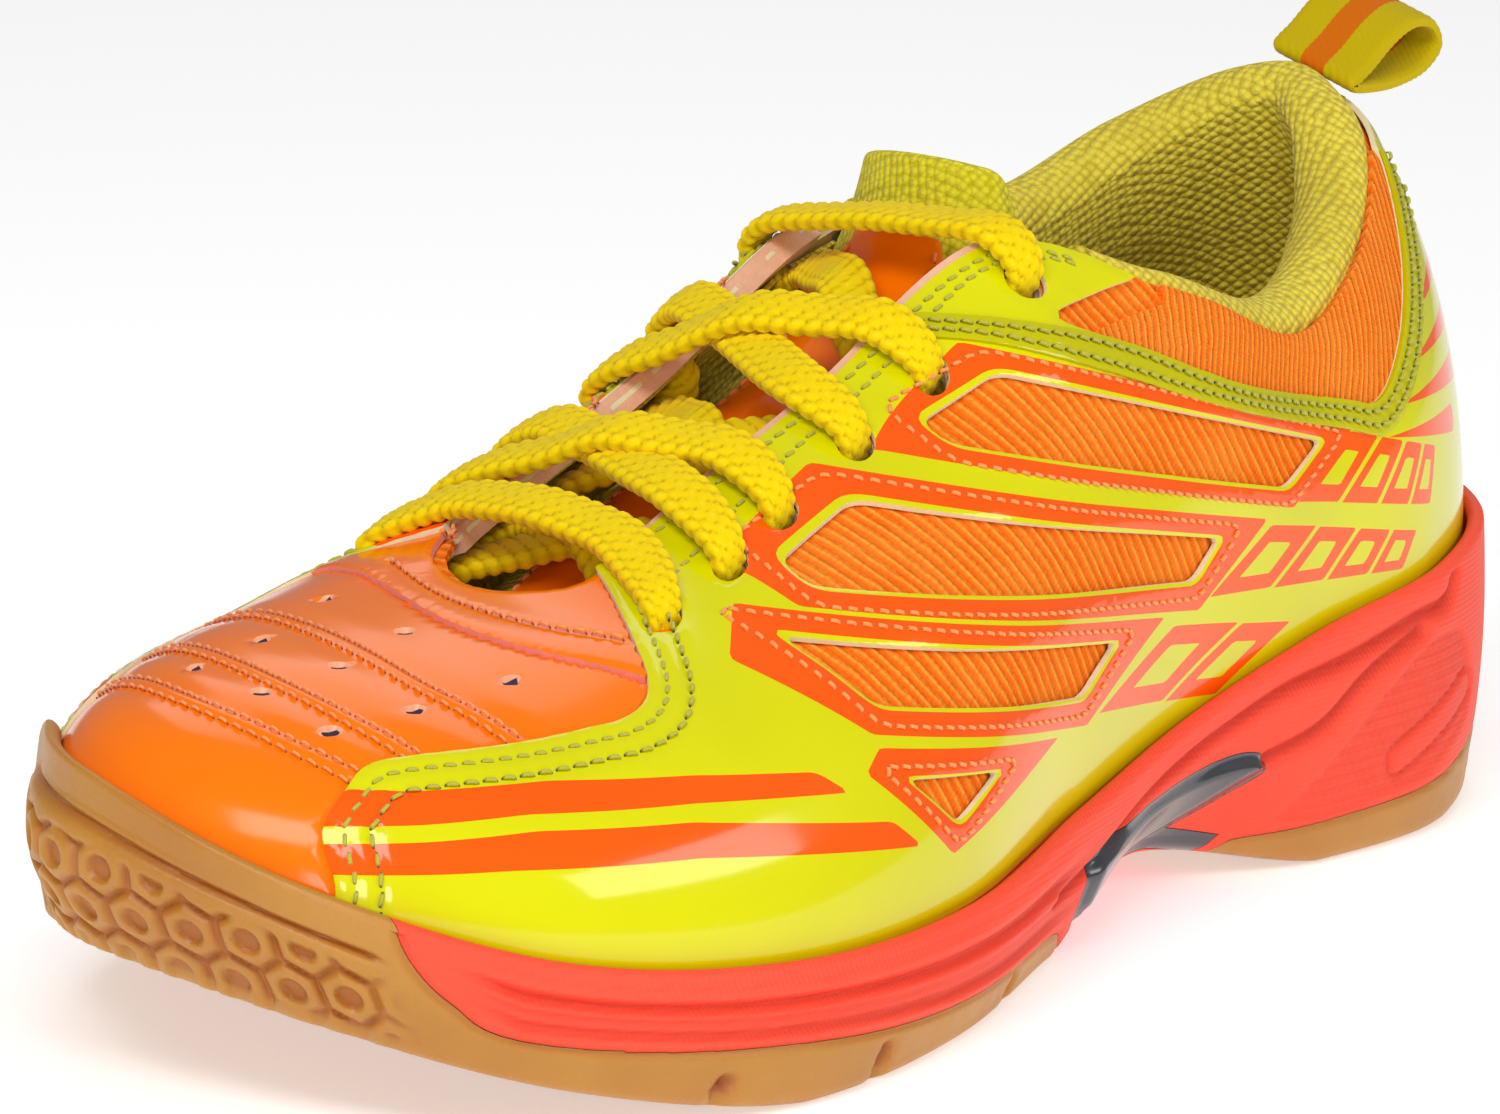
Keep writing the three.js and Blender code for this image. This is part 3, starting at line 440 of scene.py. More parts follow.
def panel(name, outline, materials, holes=(), prints=(), seams=(), offset=TOP_FACE,
          thickness=SKIN_THICKNESS, relief=None, spacing=1.15, **rest):
    """A piece of skin cut to an outline in (station, height), with rounded edges and sunk seams.

    Holes and printed shapes follow the mesh's own edges. The materials are the face, the cut edge and
    then the printed ones, which prints name by their place in the list.
    """
    def flat(line, closed=False, step=spacing):
        return evenly(np.asarray(line, float) * CHART, step, closed)

    edge = flat(outline, True)
    hole_lines = [flat(h, True, 0.8) for h in holes]
    print_lines = [(flat(p, True, 1.0), index) for p, index in prints]
    coords, edges = [], []
    for line in [edge, *hole_lines, *(p for p, _ in print_lines)]:
        start = len(coords)
        coords += line.tolist()
        edges += [(start + i, start + (i + 1) % len(line)) for i in range(len(line))]
    for seam in seams:
        line = flat(seam, step=0.9)
        side = unit(np.gradient(line, axis=0))[:, ::-1] * [1, -1]
        for shift in (-SEAM_HALF, 0, SEAM_HALF):
            coords += (line + side * shift).tolist()
    known = KDTree(len(coords))
    for i, (u, v) in enumerate(coords):
        known.insert((u, v, 0), i)
    known.balance()
    low, high = edge.min(0), edge.max(0)
    us, vs = grid(np.arange(low[0], high[0], spacing), np.arange(low[1], high[1], spacing * ROW_RATIO))
    us = us + (np.arange(us.shape[1]) % 2) * spacing / 2
    loose = np.stack([us.ravel(), vs.ravel()], -1)
    loose = loose[inside(loose, edge)]
    loose = [p for p in loose.tolist() if known.find((p[0], p[1], 0))[2] > 0.5 * spacing]
    made = delaunay_2d_cdt([Vector(p) for p in coords + loose], edges, [], 0, 1e-5)
    places = np.array([tuple(v) for v in made[0]])
    triangles = np.array(made[2])
    middles = places[triangles].mean(1)
    keep = inside(middles, edge)
    for hole in hole_lines:
        keep &= ~inside(middles, hole)
    triangles, middles = triangles[keep], middles[keep]
    used, triangles = np.unique(triangles, return_inverse=True)
    triangles = triangles.reshape(-1, 3)
    places = places[used] / CHART
    colours = np.zeros(len(triangles), int)
    for line, index in print_lines:
        colours[inside(middles, line)] = index
    s, t = places[:, 0], places[:, 1]
    base = skin(s, t, offset)
    height = np.zeros(len(s)) if relief is None else relief(base, s, t)
    rim_lines = [skin(line[:, 0] / CHART[0], line[:, 1] / CHART[1], offset) for line in [edge, *hole_lines]]
    rim_distance = Nearness([closed_line(line) for line in rim_lines])(base)
    height = height - 0.28 * (1 - np.clip(rim_distance / 0.7, 0, 1)) ** 2
    if seams:
        seam_lines = [evenly(np.asarray(seam) * CHART, 0.5) / CHART for seam in seams]
        seam_distance = Nearness([skin(*line.T, offset) for line in seam_lines])(base)
        height = height - SEAM_SINK * np.exp(-(seam_distance / 0.7) ** 2)
    normal = skin_normal(s, t)
    top = base + normal * height[:, None]
    bottom = base + normal * (np.maximum(height, 0) * 0.6 - thickness)[:, None]
    directed = np.vstack([triangles[:, [0, 1]], triangles[:, [1, 2]], triangles[:, [2, 0]]])
    sides = dict.fromkeys(map(tuple, directed.tolist()))
    rim = [(a, b) for a, b in sides if (b, a) not in sides]
    count = len(places)
    walls = [[b, a, a + count, b + count] for a, b in rim]
    faces = triangles.tolist() + (triangles[:, ::-1] + count).tolist() + walls
    indices = colours.tolist() + [1] * (len(triangles) + len(rim))
    return piece(name, np.vstack([top, bottom]), faces, materials, indices, **rest)


# ------------------------------------------------------------------ stitching

THREAD_RINGS = 6
THREAD_SIDES = 6


def stitches(name, lines, material, pitch=2.5, length=2.0, radius=0.28, slot=None, body="shoe"):
    """Thread showing along lines of (points, normals), one short arched piece for each stitch."""
    all_points, all_faces, stitch_end_shade = [], [], []
    start = 0
    for line, normals in lines:
        steps = evenly(np.hstack([line, normals]), pitch)
        for a, b in zip(steps[:-1], steps[1:]):
            middle = (a[:3] + b[:3]) / 2
            run = unit(b[:3] - a[:3])
            up = unit(a[3:] + b[3:])
            side = np.cross(run, up)
            f = np.linspace(-1, 1, THREAD_RINGS)
            rise = 0.22 - 0.5 * f ** 4
            thick = radius * (1 - 0.45 * f ** 6)
            angle = np.linspace(0, 2 * np.pi, THREAD_SIDES, endpoint=False)
            centres = middle + run * (f * length / 2)[:, None] + up * rise[:, None]
            twist = side * 0.12 * np.sin(f * 1.5)[:, None]
            ring = (side * np.cos(angle)[:, None] + up * np.sin(angle)[:, None])
            points = (centres + twist)[:, None] + ring[None] * thick[:, None, None]
            all_points.append(points.reshape(-1, 3))
            all_faces += [[i + start for i in face] for face in tube_faces(THREAD_RINGS, THREAD_SIDES)]
            stitch_end_shade += np.repeat(abs(f) ** 3, THREAD_SIDES).tolist()
            start += THREAD_RINGS * THREAD_SIDES
    made = piece(name, np.vstack(all_points), all_faces, [material], slot=slot, body=body, crease=80)
    # Values near 1 at the stitch ends, where the thread material paints shade.
    add_values(made, "depth", stitch_end_shade)


def skin_line(line, offset):
    """(points, normals) of a line of (station, height) lying on the skin."""
    line = evenly(np.asarray(line, float) * CHART, 0.8) / CHART
    return skin(line[:, 0], line[:, 1], offset), skin_normal(line[:, 0], line[:, 1])


def beside(line, distance):
    """A line of (station, height) moved sideways on the skin, by millimetres."""
    line = np.asarray(line, float)
    points = skin_point(line[:, 0], line[:, 1])
    run = unit(np.gradient(points, axis=0))
    side = np.cross(skin_normal(line[:, 0], line[:, 1]), run) * distance
    step = 1e-3
    ds = (skin_point(line[:, 0] + step, line[:, 1]) - points) / step
    dt = (skin_point(line[:, 0], line[:, 1] + step) - points) / step
    a, b, c = (ds * ds).sum(1), (ds * dt).sum(1), (dt * dt).sum(1)
    p, q = (side * ds).sum(1), (side * dt).sum(1)
    det = np.maximum(a * c - b * b, 1e-6)
    return line + np.stack([(p * c - q * b) / det, (q * a - p * b) / det], -1)


# ------------------------------------------------------------------ materials


class Shader:
    """A material on the principled shader, with helpers for its procedural detail."""

    def __init__(self, name, colour, roughness, **sockets):
        self.material = bpy.data.materials.new(name)
        self.material.use_nodes = True
        self.tree = self.material.node_tree
        self.surface = next(n for n in self.tree.nodes if n.type == "BSDF_PRINCIPLED")
        self.surface.inputs["Base Color"].default_value = (*colour, 1)
        self.surface.inputs["Roughness"].default_value = roughness
        for key, value in sockets.items():
            self.surface.inputs[key.replace("_", " ")].default_value = value
        self.coordinates = self.node("ShaderNodeTexCoord").outputs["Object"]
        self.bumps = None

    def node(self, kind, **values):
        made = self.tree.nodes.new(kind)
        for key, value in values.items():
            if hasattr(made, key):
                setattr(made, key, value)
            else:
                made.inputs[key.replace("_", " ")].default_value = value
        return made

    def link(self, output, socket):
        self.tree.links.new(output, socket)

    def placed(self, rotation=(0, 0, 0)):
        mapping = self.node("ShaderNodeMapping")
        mapping.inputs["Rotation"].default_value = rotation
        self.link(self.coordinates, mapping.inputs["Vector"])
        return mapping.outputs["Vector"]

    def noise(self, scale, detail=3.0):
        texture = self.node("ShaderNodeTexNoise", Scale=scale, Detail=detail)
        self.link(self.placed(), texture.inputs["Vector"])
        return texture.outputs["Fac"]

    def wave(self, pitch, rotation=(0, 0, 0), distortion=0.0, axis="X"):
        texture = self.node("ShaderNodeTexWave", Scale=0.31416 / pitch, Distortion=distortion, Detail=1.0)
        texture.bands_direction = axis
        self.link(self.placed(rotation), texture.inputs["Vector"])
        return texture.outputs["Fac"]

    def cells(self, pitch, rotation=(0, 0, 0), randomness=0.0):
        texture = self.node("ShaderNodeTexVoronoi", Scale=1 / pitch, Randomness=randomness)
        self.link(self.placed(rotation), texture.inputs["Vector"])
        return texture.outputs["Distance"]

    def ramp(self, value, low, high, start=0.0, end=1.0):
        node = self.node("ShaderNodeMapRange")
        for key, number in (("From Min", low), ("From Max", high), ("To Min", start), ("To Max", end)):
            node.inputs[key].default_value = number
        self.link(value, node.inputs["Value"])
        return node.outputs["Result"]

    def attribute(self, name):
        return self.node("ShaderNodeAttribute", attribute_name=name).outputs["Fac"]

    def combine(self, operation, a, b):
        node = self.node("ShaderNodeMath", operation=operation)
        self.link(a, node.inputs[0])
        if isinstance(b, (int, float)):
            node.inputs[1].default_value = b
        else:
            self.link(b, node.inputs[1])
        return node.outputs[0]

    def tint(self, factor, colour):
        """The base colour turns to another where the factor is 1."""
        node = self.node("ShaderNodeMix", data_type="RGBA")
        socket = self.surface.inputs["Base Color"]
        if socket.links:
            self.link(socket.links[0].from_socket, node.inputs[6])
        else:
            node.inputs[6].default_value = tuple(socket.default_value)
        node.inputs[7].default_value = (*colour, 1)
        self.link(factor, node.inputs[0])
        self.link(node.outputs[2], socket)
        return self

    def bump(self, height, distance, strength=1.0):
        node = self.node("ShaderNodeBump", Strength=strength, Distance=distance)
        self.link(height, node.inputs["Height"])
        if self.bumps:
            self.link(self.bumps, node.inputs["Normal"])
        self.bumps = node.outputs["Normal"]
        self.link(self.bumps, self.surface.inputs["Normal"])
        return self

    def rough(self, factor, low, high):
        self.link(self.ramp(factor, 0, 1, low, high), self.surface.inputs["Roughness"])
        return self


def patent(name, colour, shade, coat=0.65, coat_roughness=0.08):
    """Glossy coated synthetic leather: slow waves and fine orange peel under a clear coat."""
    look = Shader(name, colour, 0.2, Coat_Weight=coat, Coat_Roughness=coat_roughness, IOR=1.45,
                  Specular_IOR_Level=0.15)
    look.tint(look.ramp(look.noise(30, 2), 0.35, 0.75, 0, 0.35), shade)
    look.bump(look.noise(45, 1), 0.0006, 0.25)
    look.bump(look.noise(900, 2), 0.00006, 0.25)
    look.rough(look.noise(160), 0.1, 0.22)
    return look.material


def cut_edge(name, colour):
    look = Shader(name, colour, 0.75, Sheen_Weight=0.2)
    look.bump(look.noise(2500, 4), 0.0002, 0.6)
    look.tint(look.noise(700), tuple(c * 0.8 for c in colour))
    return look.material


def ribbed_mesh(name, colour, painted_shade, painted_highlight, angle, pitch=0.0019):
    """Fabric with diagonal ribs, and rows of small holes between them, with painted highlight on the rib tops
    and painted shade in the rib troughs and holes.
    """
    look = Shader(name, colour, 0.85, Specular_IOR_Level=0.08)
    turn = (0, angle, 0)
    ribs = look.wave(pitch, turn, distortion=1.6)
    loops = look.cells(pitch * 0.4, turn, 0.35)
    # Painted highlight on the rib tops, painted shade in the rib troughs and between the small loops; the
    # last tint is a random lighter tone.
    look.tint(look.ramp(ribs, 0.62, 0.98), painted_highlight)
    look.tint(look.ramp(ribs, 0.3, 0.04, 0, 0.45), painted_shade)
    look.tint(look.ramp(loops, 0.45, 0.75, 0, 0.4), painted_shade)
    look.tint(look.ramp(look.noise(90), 0.45, 0.75, 0, 0.35), painted_highlight)
    look.bump(ribs, 0.00045, 0.8)
    look.bump(loops, 0.00025, 0.8)
    return look.material


def knit(name, colour, painted_shade, painted_highlight, pitch=0.0021):
    """Spacer knit: rows of small bulging loops, with painted highlight on their tops and painted shade in the
    gaps between them.
    """
    look = Shader(name, colour, 0.9, Sheen_Weight=0.1, Sheen_Roughness=0.4, Specular_IOR_Level=0.1)
    loops = look.cells(pitch, (0.6, 0.5, 0.3), 0.25)
    fibres = look.noise(3000, 2)
    # Painted highlight on the loop tops and painted shade in the gaps; the noise tint after them is a random
    # darker tone.
    look.tint(look.ramp(loops, 0.2, 0.0, 0, 0.6), painted_highlight)
    look.tint(look.ramp(loops, 0.42, 0.68, 0, 0.65), painted_shade)
    look.tint(look.ramp(look.noise(60), 0.5, 0.8, 0, 0.3), painted_shade)
    look.bump(look.combine("MULTIPLY", loops, -1.0), 0.0011, 0.9)
    look.bump(fibres, 0.00015, 0.5)
    return look.material


def braid(name, colour, painted_shade, painted_highlight):
    look = Shader(name, colour, 0.85, Sheen_Weight=0.08, Sheen_Roughness=0.4, Specular_IOR_Level=0.12)
    relief = look.attribute("relief")
    # Painted shade in the gaps between the plaited strands and painted highlight on their tops, read from the
    # braid's relief.
    look.tint(look.ramp(relief, 0.45, 0.0, 0, 0.85), painted_shade)
    look.tint(look.ramp(relief, 0.7, 1.0, 0, 0.6), painted_highlight)
    look.bump(look.noise(4000, 2), 0.00012, 0.6)
    return look.material


def thread(name, colour, painted_shade):
    look = Shader(name, colour, 0.7, Sheen_Weight=0.3)
    # Painted shade at both ends of every stitch, where the thread sinks into its needle hole.
    look.tint(look.ramp(look.attribute("depth"), 0.25, 0.9), painted_shade)
    look.bump(look.wave(0.0003, (0.5, 0.5, 0.5)), 0.00008, 0.6)
    return look.material


def rubber(name, colour, deep):
    """Gum rubber: warm, a little translucent, with a fine moulded grain and painted shade in its pressed
    grooves.
    """
    look = Shader(name, colour, 0.42, Subsurface_Weight=0.25, Subsurface_Scale=0.004, IOR=1.5)
    look.surface.inputs["Subsurface Radius"].default_value = (1.0, 0.45, 0.12)
    look.tint(look.ramp(look.noise(40, 4), 0.35, 0.8, 0, 0.5), deep)
    # Painted shade in the moulded grooves, darker where the wall is pressed in deeper; the noise tint above
    # is a random darker tone.
    groove_shade = (deep[0] * 1.05, deep[1] * 0.5, deep[2] * 0.3)
    look.tint(look.ramp(look.attribute("relief"), 0.0, 1.0, 0, 0.75), groove_shade)
    look.bump(look.noise(1500, 3), 0.00018, 0.55)
    look.rough(look.noise(300), 0.32, 0.55)
    return look.material


def foam(name, colour, shade):
    """Moulded midsole foam with a fine machined line texture and painted shade in its pressed grooves."""
    look = Shader(name, colour, 0.55, Subsurface_Weight=0.12, Subsurface_Scale=0.003, Specular_IOR_Level=0.25)
    look.surface.inputs["Subsurface Radius"].default_value = (1.0, 0.3, 0.2)
    look.tint(look.ramp(look.noise(28, 3), 0.4, 0.8, 0, 0.4), shade)
    # Painted shade in the pressed grooves, read from the sole's relief; the noise tint above is a random
    # tone.
    look.tint(look.ramp(look.attribute("relief"), 0.0, 1.0, 0, 0.7), tuple(c * 0.55 for c in shade))
    look.bump(look.wave(0.0008, (0, 0, 0), 0.0, "Z"), 0.00006, 0.6)
    look.bump(look.wave(0.0009, (0, 0, 0), 0.0, "X"), 0.00006, 0.6)
    look.bump(look.noise(1800, 2), 0.00008, 0.4)
    return look.material


def plain(name, colour, roughness, grain, depth, **sockets):
    look = Shader(name, colour, roughness, **sockets)
    look.tint(look.ramp(look.noise(grain / 8), 0.4, 0.8, 0, 0.4), tuple(c * 0.8 for c in colour))
    look.bump(look.noise(grain, 3), depth, 0.6)
    return look.material


YELLOW = patent("yellow_patent", (0.72, 0.71, 0.0), (0.56, 0.51, 0.0))
ORANGE_PRINT = patent("orange_print", (1.0, 0.11, 0.0), (0.9, 0.07, 0.0))
ORANGE = patent("orange_patent", (1.0, 0.20, 0.0), (1.0, 0.13, 0.0), 0.4, 0.16)
OLIVE = patent("olive_band", (0.56, 0.53, 0.0), (0.46, 0.41, 0.0))
PALE_EDGE = cut_edge("pale_cut_edge", (0.93, 0.86, 0.55))
PINK_EDGE = cut_edge("pink_cut_edge", (0.95, 0.3, 0.22))
THROAT_EDGE = cut_edge("throat_cut_edge", (0.95, 0.52, 0.34))
# For the fabrics, lace and threads below, the second colour is painted shade and the third, where given,
# painted highlight.
SIDE_MESH = ribbed_mesh("orange_mesh", (1.0, 0.21, 0.01), (0.9, 0.07, 0.0), (1.0, 0.34, 0.04), 0.55)
COLLAR_MESH = ribbed_mesh("collar_mesh", (1.0, 0.23, 0.015), (1.0, 0.12, 0.0), (1.0, 0.34, 0.05),
                          -0.35, 0.0013)
KNIT = knit("collar_knit", (0.86, 0.70, 0.07), (0.50, 0.36, 0.02), (0.98, 0.86, 0.2), 0.0014)
TONGUE_KNIT = knit("tongue_knit", (0.80, 0.70, 0.03), (0.48, 0.40, 0.0), (0.94, 0.86, 0.1), 0.0013)
LACE = braid("lace_braid", (0.92, 0.66, 0.0), (0.52, 0.32, 0.0), (0.97, 0.78, 0.03))
OLIVE_THREAD = thread("olive_thread", (0.50, 0.47, 0.02), (0.03, 0.03, 0.0))
ORANGE_THREAD = thread("orange_thread", (1.0, 0.33, 0.07), (0.25, 0.02, 0.0))
WEBBING = braid("webbing", (0.88, 0.72, 0.0), (0.5, 0.36, 0.0), (0.95, 0.85, 0.05))
WEBBING_STRIPE = braid("webbing_stripe", (1.0, 0.28, 0.0), (0.6, 0.12, 0.0), (1.0, 0.4, 0.03))
GUM = rubber("gum_rubber", (0.52, 0.24, 0.03), (0.36, 0.115, 0.008))
CORAL = foam("coral_foam", (1.0, 0.09, 0.045), (0.95, 0.05, 0.02))
SHANK = plain("shank_plate", (0.035, 0.042, 0.05), 0.22, 1200, 0.00005, Coat_Weight=0.6, Coat_Roughness=0.15)
FILM = plain("stiffening_film", (0.88, 0.62, 0.42), 0.6, 900, 0.0001)
HOLE_RIM = plain("hole_rim", (1.0, 0.42, 0.22), 0.35, 900, 0.00005)
# Near-black fill in the middle of each vamp perforation: painted shade where the holes are not cut through.
HOLE_SHADE = plain("hole", (0.03, 0.02, 0.06), 0.8, 900, 0.0001)
BOARD = plain("board", (0.75, 0.70, 0.58), 0.9, 1500, 0.0002)
SOCK = knit("sockliner_cloth", (0.60, 0.50, 0.08), (0.42, 0.33, 0.04), (0.7, 0.6, 0.14), 0.0012)


# ------------------------------------------------------------------ upper: quarters


def outline_on_side(points, medial, radius=0.0):
    points = rounded(points, radius) if radius else np.asarray(points, float)
    corners = np.vstack([points, points[:1]])
    return on_side(np.vstack([evenly(corners[i:i + 2], 2.0)[:-1] for i in range(len(points))]), medial)


def eyelet_ring(s, t, radius):
    """A circle on the skin round an eyelet."""
    step = 1e-3
    along = np.linalg.norm(skin_point(s + step, t) - skin_point(s, t)) / step
    up = np.linalg.norm(skin_point(s, t + step) - skin_point(s, t)) / step
    turns = np.linspace(0, 2 * np.pi, 28, endpoint=False)
    return np.stack([s + radius * np.cos(turns) / along, t + radius * np.sin(turns) / up], -1)


def eyelets_of(medial):
    """(station, height) of one side's lace holes, toe end first."""
    return [(STATIONS - s, t) for s, t in EYELETS] if medial else EYELETS


def cells(medial):
    """Outlines of the slanted cells behind the windows, and the smaller cells inside them."""
    outer, inner = [], []
    for top_start, top_end, low_start, low_end, count, narrowing in CELL_ROWS:
        stops = np.concatenate([[0], np.cumsum(narrowing ** np.arange(count))])
        stops = stops / stops[-1]
        top = [mix(np.array(top_start, float), np.array(top_end, float), f) for f in stops]
        low = [mix(np.array(low_start, float), np.array(low_end, float), f) for f in stops]
        for i in range(count):
            cell = grown([low[i], low[i + 1], top[i + 1], top[i]], -0.42)
            middle = cell.mean(0)
            outer.append(outline_on_side(cell, medial))
            inner.append(outline_on_side(middle + (cell - middle) * [0.48, 0.5], medial))
    return outer, inner


# Stripes fanning out at the back of the heel, as [x, z at the tip, x, z at the heel end, width].
FAN = [(97, 61, 122, 60, 2.4), (101, 65, 127, 67, 2.4), (106, 70, 130, 75, 2.2), (111, 76, 131, 83, 2.0)]


def fan_stripe(x0, z0, x1, z1, width):
    across = unit(np.array([z0 - z1, x1 - x0])) * width
    tip, end = np.array([x0, z0], float), np.array([x1, z1], float)
    return np.array([tip, end + across * 0.9, end - across * 0.9])


def front_of(medial):
    front = [tuple(p) for p in curve(QUARTER_FRONT, 4)]
    return mirrored(front).tolist() if medial else front


def quarter(side):
    """The patent side panel with its windows and prints. It gives the seams along its front edge."""
    medial = side == "medial"
    ankle = on_side(curve(ANKLE_LINE, 5), medial)
    ankle = [tuple(p) for p in ankle if p[1] < 0.965]
    top_front, top_back = (ankle[0][0], 0.97), (ankle[-1][0], 0.97)
    heel = STATIONS - HEEL_STRIP_HALF if medial else HEEL_STRIP_HALF
    outline = [(heel, 0.0), *front_of(medial), top_front, *ankle, top_back, (heel, 0.97)]
    windows = [outline_on_side(w, medial, 2.2) for w in WINDOWS]
    eyelets = [eyelet_ring(s, t, EYELET_RADIUS) for s, t in eyelets_of(medial)]
    prints = [(outline_on_side(f, medial, 0.6), 2) for f in WINDOW_FRAMES]
    prints += [(outline_on_side(grown(w, 0.55), medial, 2.3), 0) for w in WINDOWS]
    outer, inner = cells(medial)
    prints += [(cell, 2) for cell in outer] + [(cell, 0) for cell in inner]
    prints += [(on_side(evenly(fan_stripe(*f), 2.0, True), medial), 2) for f in FAN]
    prints += [(outline_on_side(stripe, medial, 1.2), 2) for stripe in STRIPES]
    front = np.array(front_of(medial))
    front_gap = Nearness([skin(front[:, 0], front[:, 1])])
    frame_lines = [skin(*shape.T) for shape, _ in prints[:len(WINDOW_FRAMES)]]
    frame_gap = Nearness([closed_line(line) for line in frame_lines])

    def relief(base, s, t):
        lap = 1 - smooth(front_gap(base) / 14)
        welt = 0.22 * np.exp(-(frame_gap(base) / 0.8) ** 2)
        return lap - welt

    inward = 1 if medial else -1
    seams = [beside(front, inward * d) for d in (2.4, 5.4)]
    panel(f"quarter_{side}_skin", outline, [YELLOW, PALE_EDGE, ORANGE_PRINT], holes=windows + eyelets,
          prints=prints, seams=seams, relief=relief, spacing=1.3, slot="yellow_patent",
          replaces=[f"quarter_{side}"])
    return seams


def side_stitching(side, seams):
    medial = side == "medial"
    rows = [skin_line(seam, TOP_FACE + 0.6) for seam in seams]
    stitches(f"front_stitches_{side}", rows, OLIVE_THREAD, slot="yellow_patent")
    frames = []
    for window in WINDOWS:
        ring = outline_on_side(grown(window, 2.4), medial, 2.0)
        frames.append(skin_line(closed_line(ring), TOP_FACE))
    stitches(f"window_stitches_{side}", frames, ORANGE_THREAD, pitch=2.3, length=1.8, radius=0.3,
             slot="orange_patent")
    edge = front_of(medial)[-1]
    past_last = EYELETS[-1][0] - 0.35
    end = STATIONS - past_last if medial else past_last
    stay = [(mix(edge[0], end, f), 0.945 if f < 1 else 0.935) for f in np.linspace(0.02, 1, 12)]
    eyelets = np.array(sorted(eyelets_of(medial)))
    low = [(s, min(0.925, np.interp(s, *eyelets.T) + 0.07)) for s, _ in stay]
    stitches(f"eyestay_stitches_{side}", [skin_line(stay, TOP_FACE), skin_line(low, TOP_FACE)], OLIVE_THREAD,
             slot="yellow_patent")


def olive_band(side):
    """Raised band under the ankle opening, stitched along both edges."""
    medial = side == "medial"
    upper = on_side(curve(BAND_UPPER, 5), medial)
    lower = on_side(curve(BAND_LOWER, 5), medial)
    upper = np.array([p for p in upper if p[1] < 0.968])
    lower = np.array([p for p in lower if p[1] < 0.968])
    outline = np.vstack([upper, lower[::-1]])
    inward = -1 if medial else 1
    seams = [beside(upper, -inward * 1.3), beside(lower, inward * 1.3)]
    panel(f"ankle_band_{side}", outline, [OLIVE, OLIVE], seams=seams, offset=TOP_FACE + 0.75, thickness=0.8,
          slot="yellow_patent")
    stitches(f"band_stitches_{side}", [skin_line(seam, TOP_FACE + 0.75) for seam in seams], OLIVE_THREAD,
             pitch=2.3, length=1.8, radius=0.3, slot="yellow_patent")


def ankle_panel(side):
    medial = side == "medial"
    line = on_side(curve(np.array(ANKLE_LINE) - [0, 4], 5), medial)
    line = [tuple(p) for p in line if p[1] < 0.98]
    outline = [*line, (line[-1][0], 0.985), (line[0][0], 0.985)]
    rim = Nearness([skin(*np.array(line).T)])

    def relief(base, s, t):
        return 0.9 * smooth((rim(base) - 4) / 9)

    panel(f"ankle_mesh_{side}", outline, [COLLAR_MESH, COLLAR_MESH], offset=TOP_FACE - 0.45, relief=relief,
          spacing=1.6, slot="upper_mesh", replaces=[f"ankle_panel_{side}"])


def side_mesh(side):
    medial = side == "medial"
    low, high = (12.03, 19.97) if medial else (0.03, 7.97)
    holes = [eyelet_ring(s, t, EYELET_RADIUS) for s, t in eyelets_of(medial)]
    panel(f"mesh_sheet_{side}", [(low, 0), (high, 0), (high, 0.985), (low, 0.985)], [SIDE_MESH, PALE_EDGE],
          holes=holes, offset=0.0, thickness=MESH_THICKNESS, spacing=2.4, slot="upper_mesh",
          replaces=[f"mesh_{side}"])


for side in ("lateral", "medial"):
    side_stitching(side, quarter(side))
    olive_band(side)
    ankle_panel(side)
    side_mesh(side)

# The strip over the heel seam.
strip_s, strip_t = grid(np.linspace(-HEEL_STRIP_HALF, HEEL_STRIP_HALF, 14), np.linspace(0, 0.97, 90))
strip_rise = 0.5 * smooth((HEEL_STRIP_HALF - abs(strip_s)) / 0.05) * smooth((0.95 - strip_t) / 0.08)
points, faces = slab(skin(strip_s, strip_t, TOP_FACE + strip_rise), skin(strip_s, strip_t, GAP))
piece("heel_strip_skin", points, faces, [YELLOW], slot="yellow_patent", replaces=["heel_strip"])
strip_rows = [[(d, t) for t in np.linspace(0.3, 0.86, 30)] for d in (-0.15, 0.15)]
stitches("heel_stitches", [skin_line(row, TOP_FACE + 0.5) for row in strip_rows], OLIVE_THREAD,
         slot="yellow_patent")

# ------------------------------------------------------------------ upper: vamp and throat


def on_front(points):
    """(station, height) of plan points (x, y) on the front of the shoe."""
    return on_skin(points, axes=(0, 1), low=7, high=13)


def under_quarter(s, t):
    """True where the side pieces cover the front ones."""
    places = np.stack([s, t], -1)
    hidden = np.zeros(len(s), bool)
    for medial in (False, True):
        front = front_of(medial)
        behind = 14 if medial else 6
        hidden |= inside(places, [*front, (behind, 0.97), (behind, 0)])
    return hidden


FRONT_EDGES = [np.array(front_of(medial)) for medial in (False, True)]
front_edge_gap = Nearness([skin(*line.T) for line in FRONT_EDGES])
throat_line = on_front(curve(THROAT_FRONT, 6))
throat_gap = Nearness([skin(*throat_line.T)])
band_lines = [on_front(curve(band, 6)) for band in VAMP_BANDS]
band_gap = Nearness([skin(*line.T) for line in band_lines])
vamp_holes = on_front(VAMP_HOLES)
hole_places = skin(vamp_holes[:, 0], vamp_holes[:, 1], TOP_FACE)


def vamp_relief(base, s, t):
    sunk = under_quarter(s, t) * smooth(front_edge_gap(base) / 2.5)
    behind = inside(np.stack([s, t], -1), [*throat_line, (12.3, 0.99), (7.7, 0.99)])
    sunk = np.maximum(sunk, behind * smooth(throat_gap(base) / 2.0))
    gap = band_gap(base)
    hole_gap = np.linalg.norm(base[:, None] - hole_places[None], axis=-1).min(1)
    sunk = sunk + 0.9 * smooth((1.4 - hole_gap) / 0.5)
    puff = 0.55 * np.exp(-((gap - 1.1) / 0.8) ** 2) + 0.35 * smooth((gap - 1.2) / 5)
    return puff - 0.25 * (gap < 0.3) - sunk


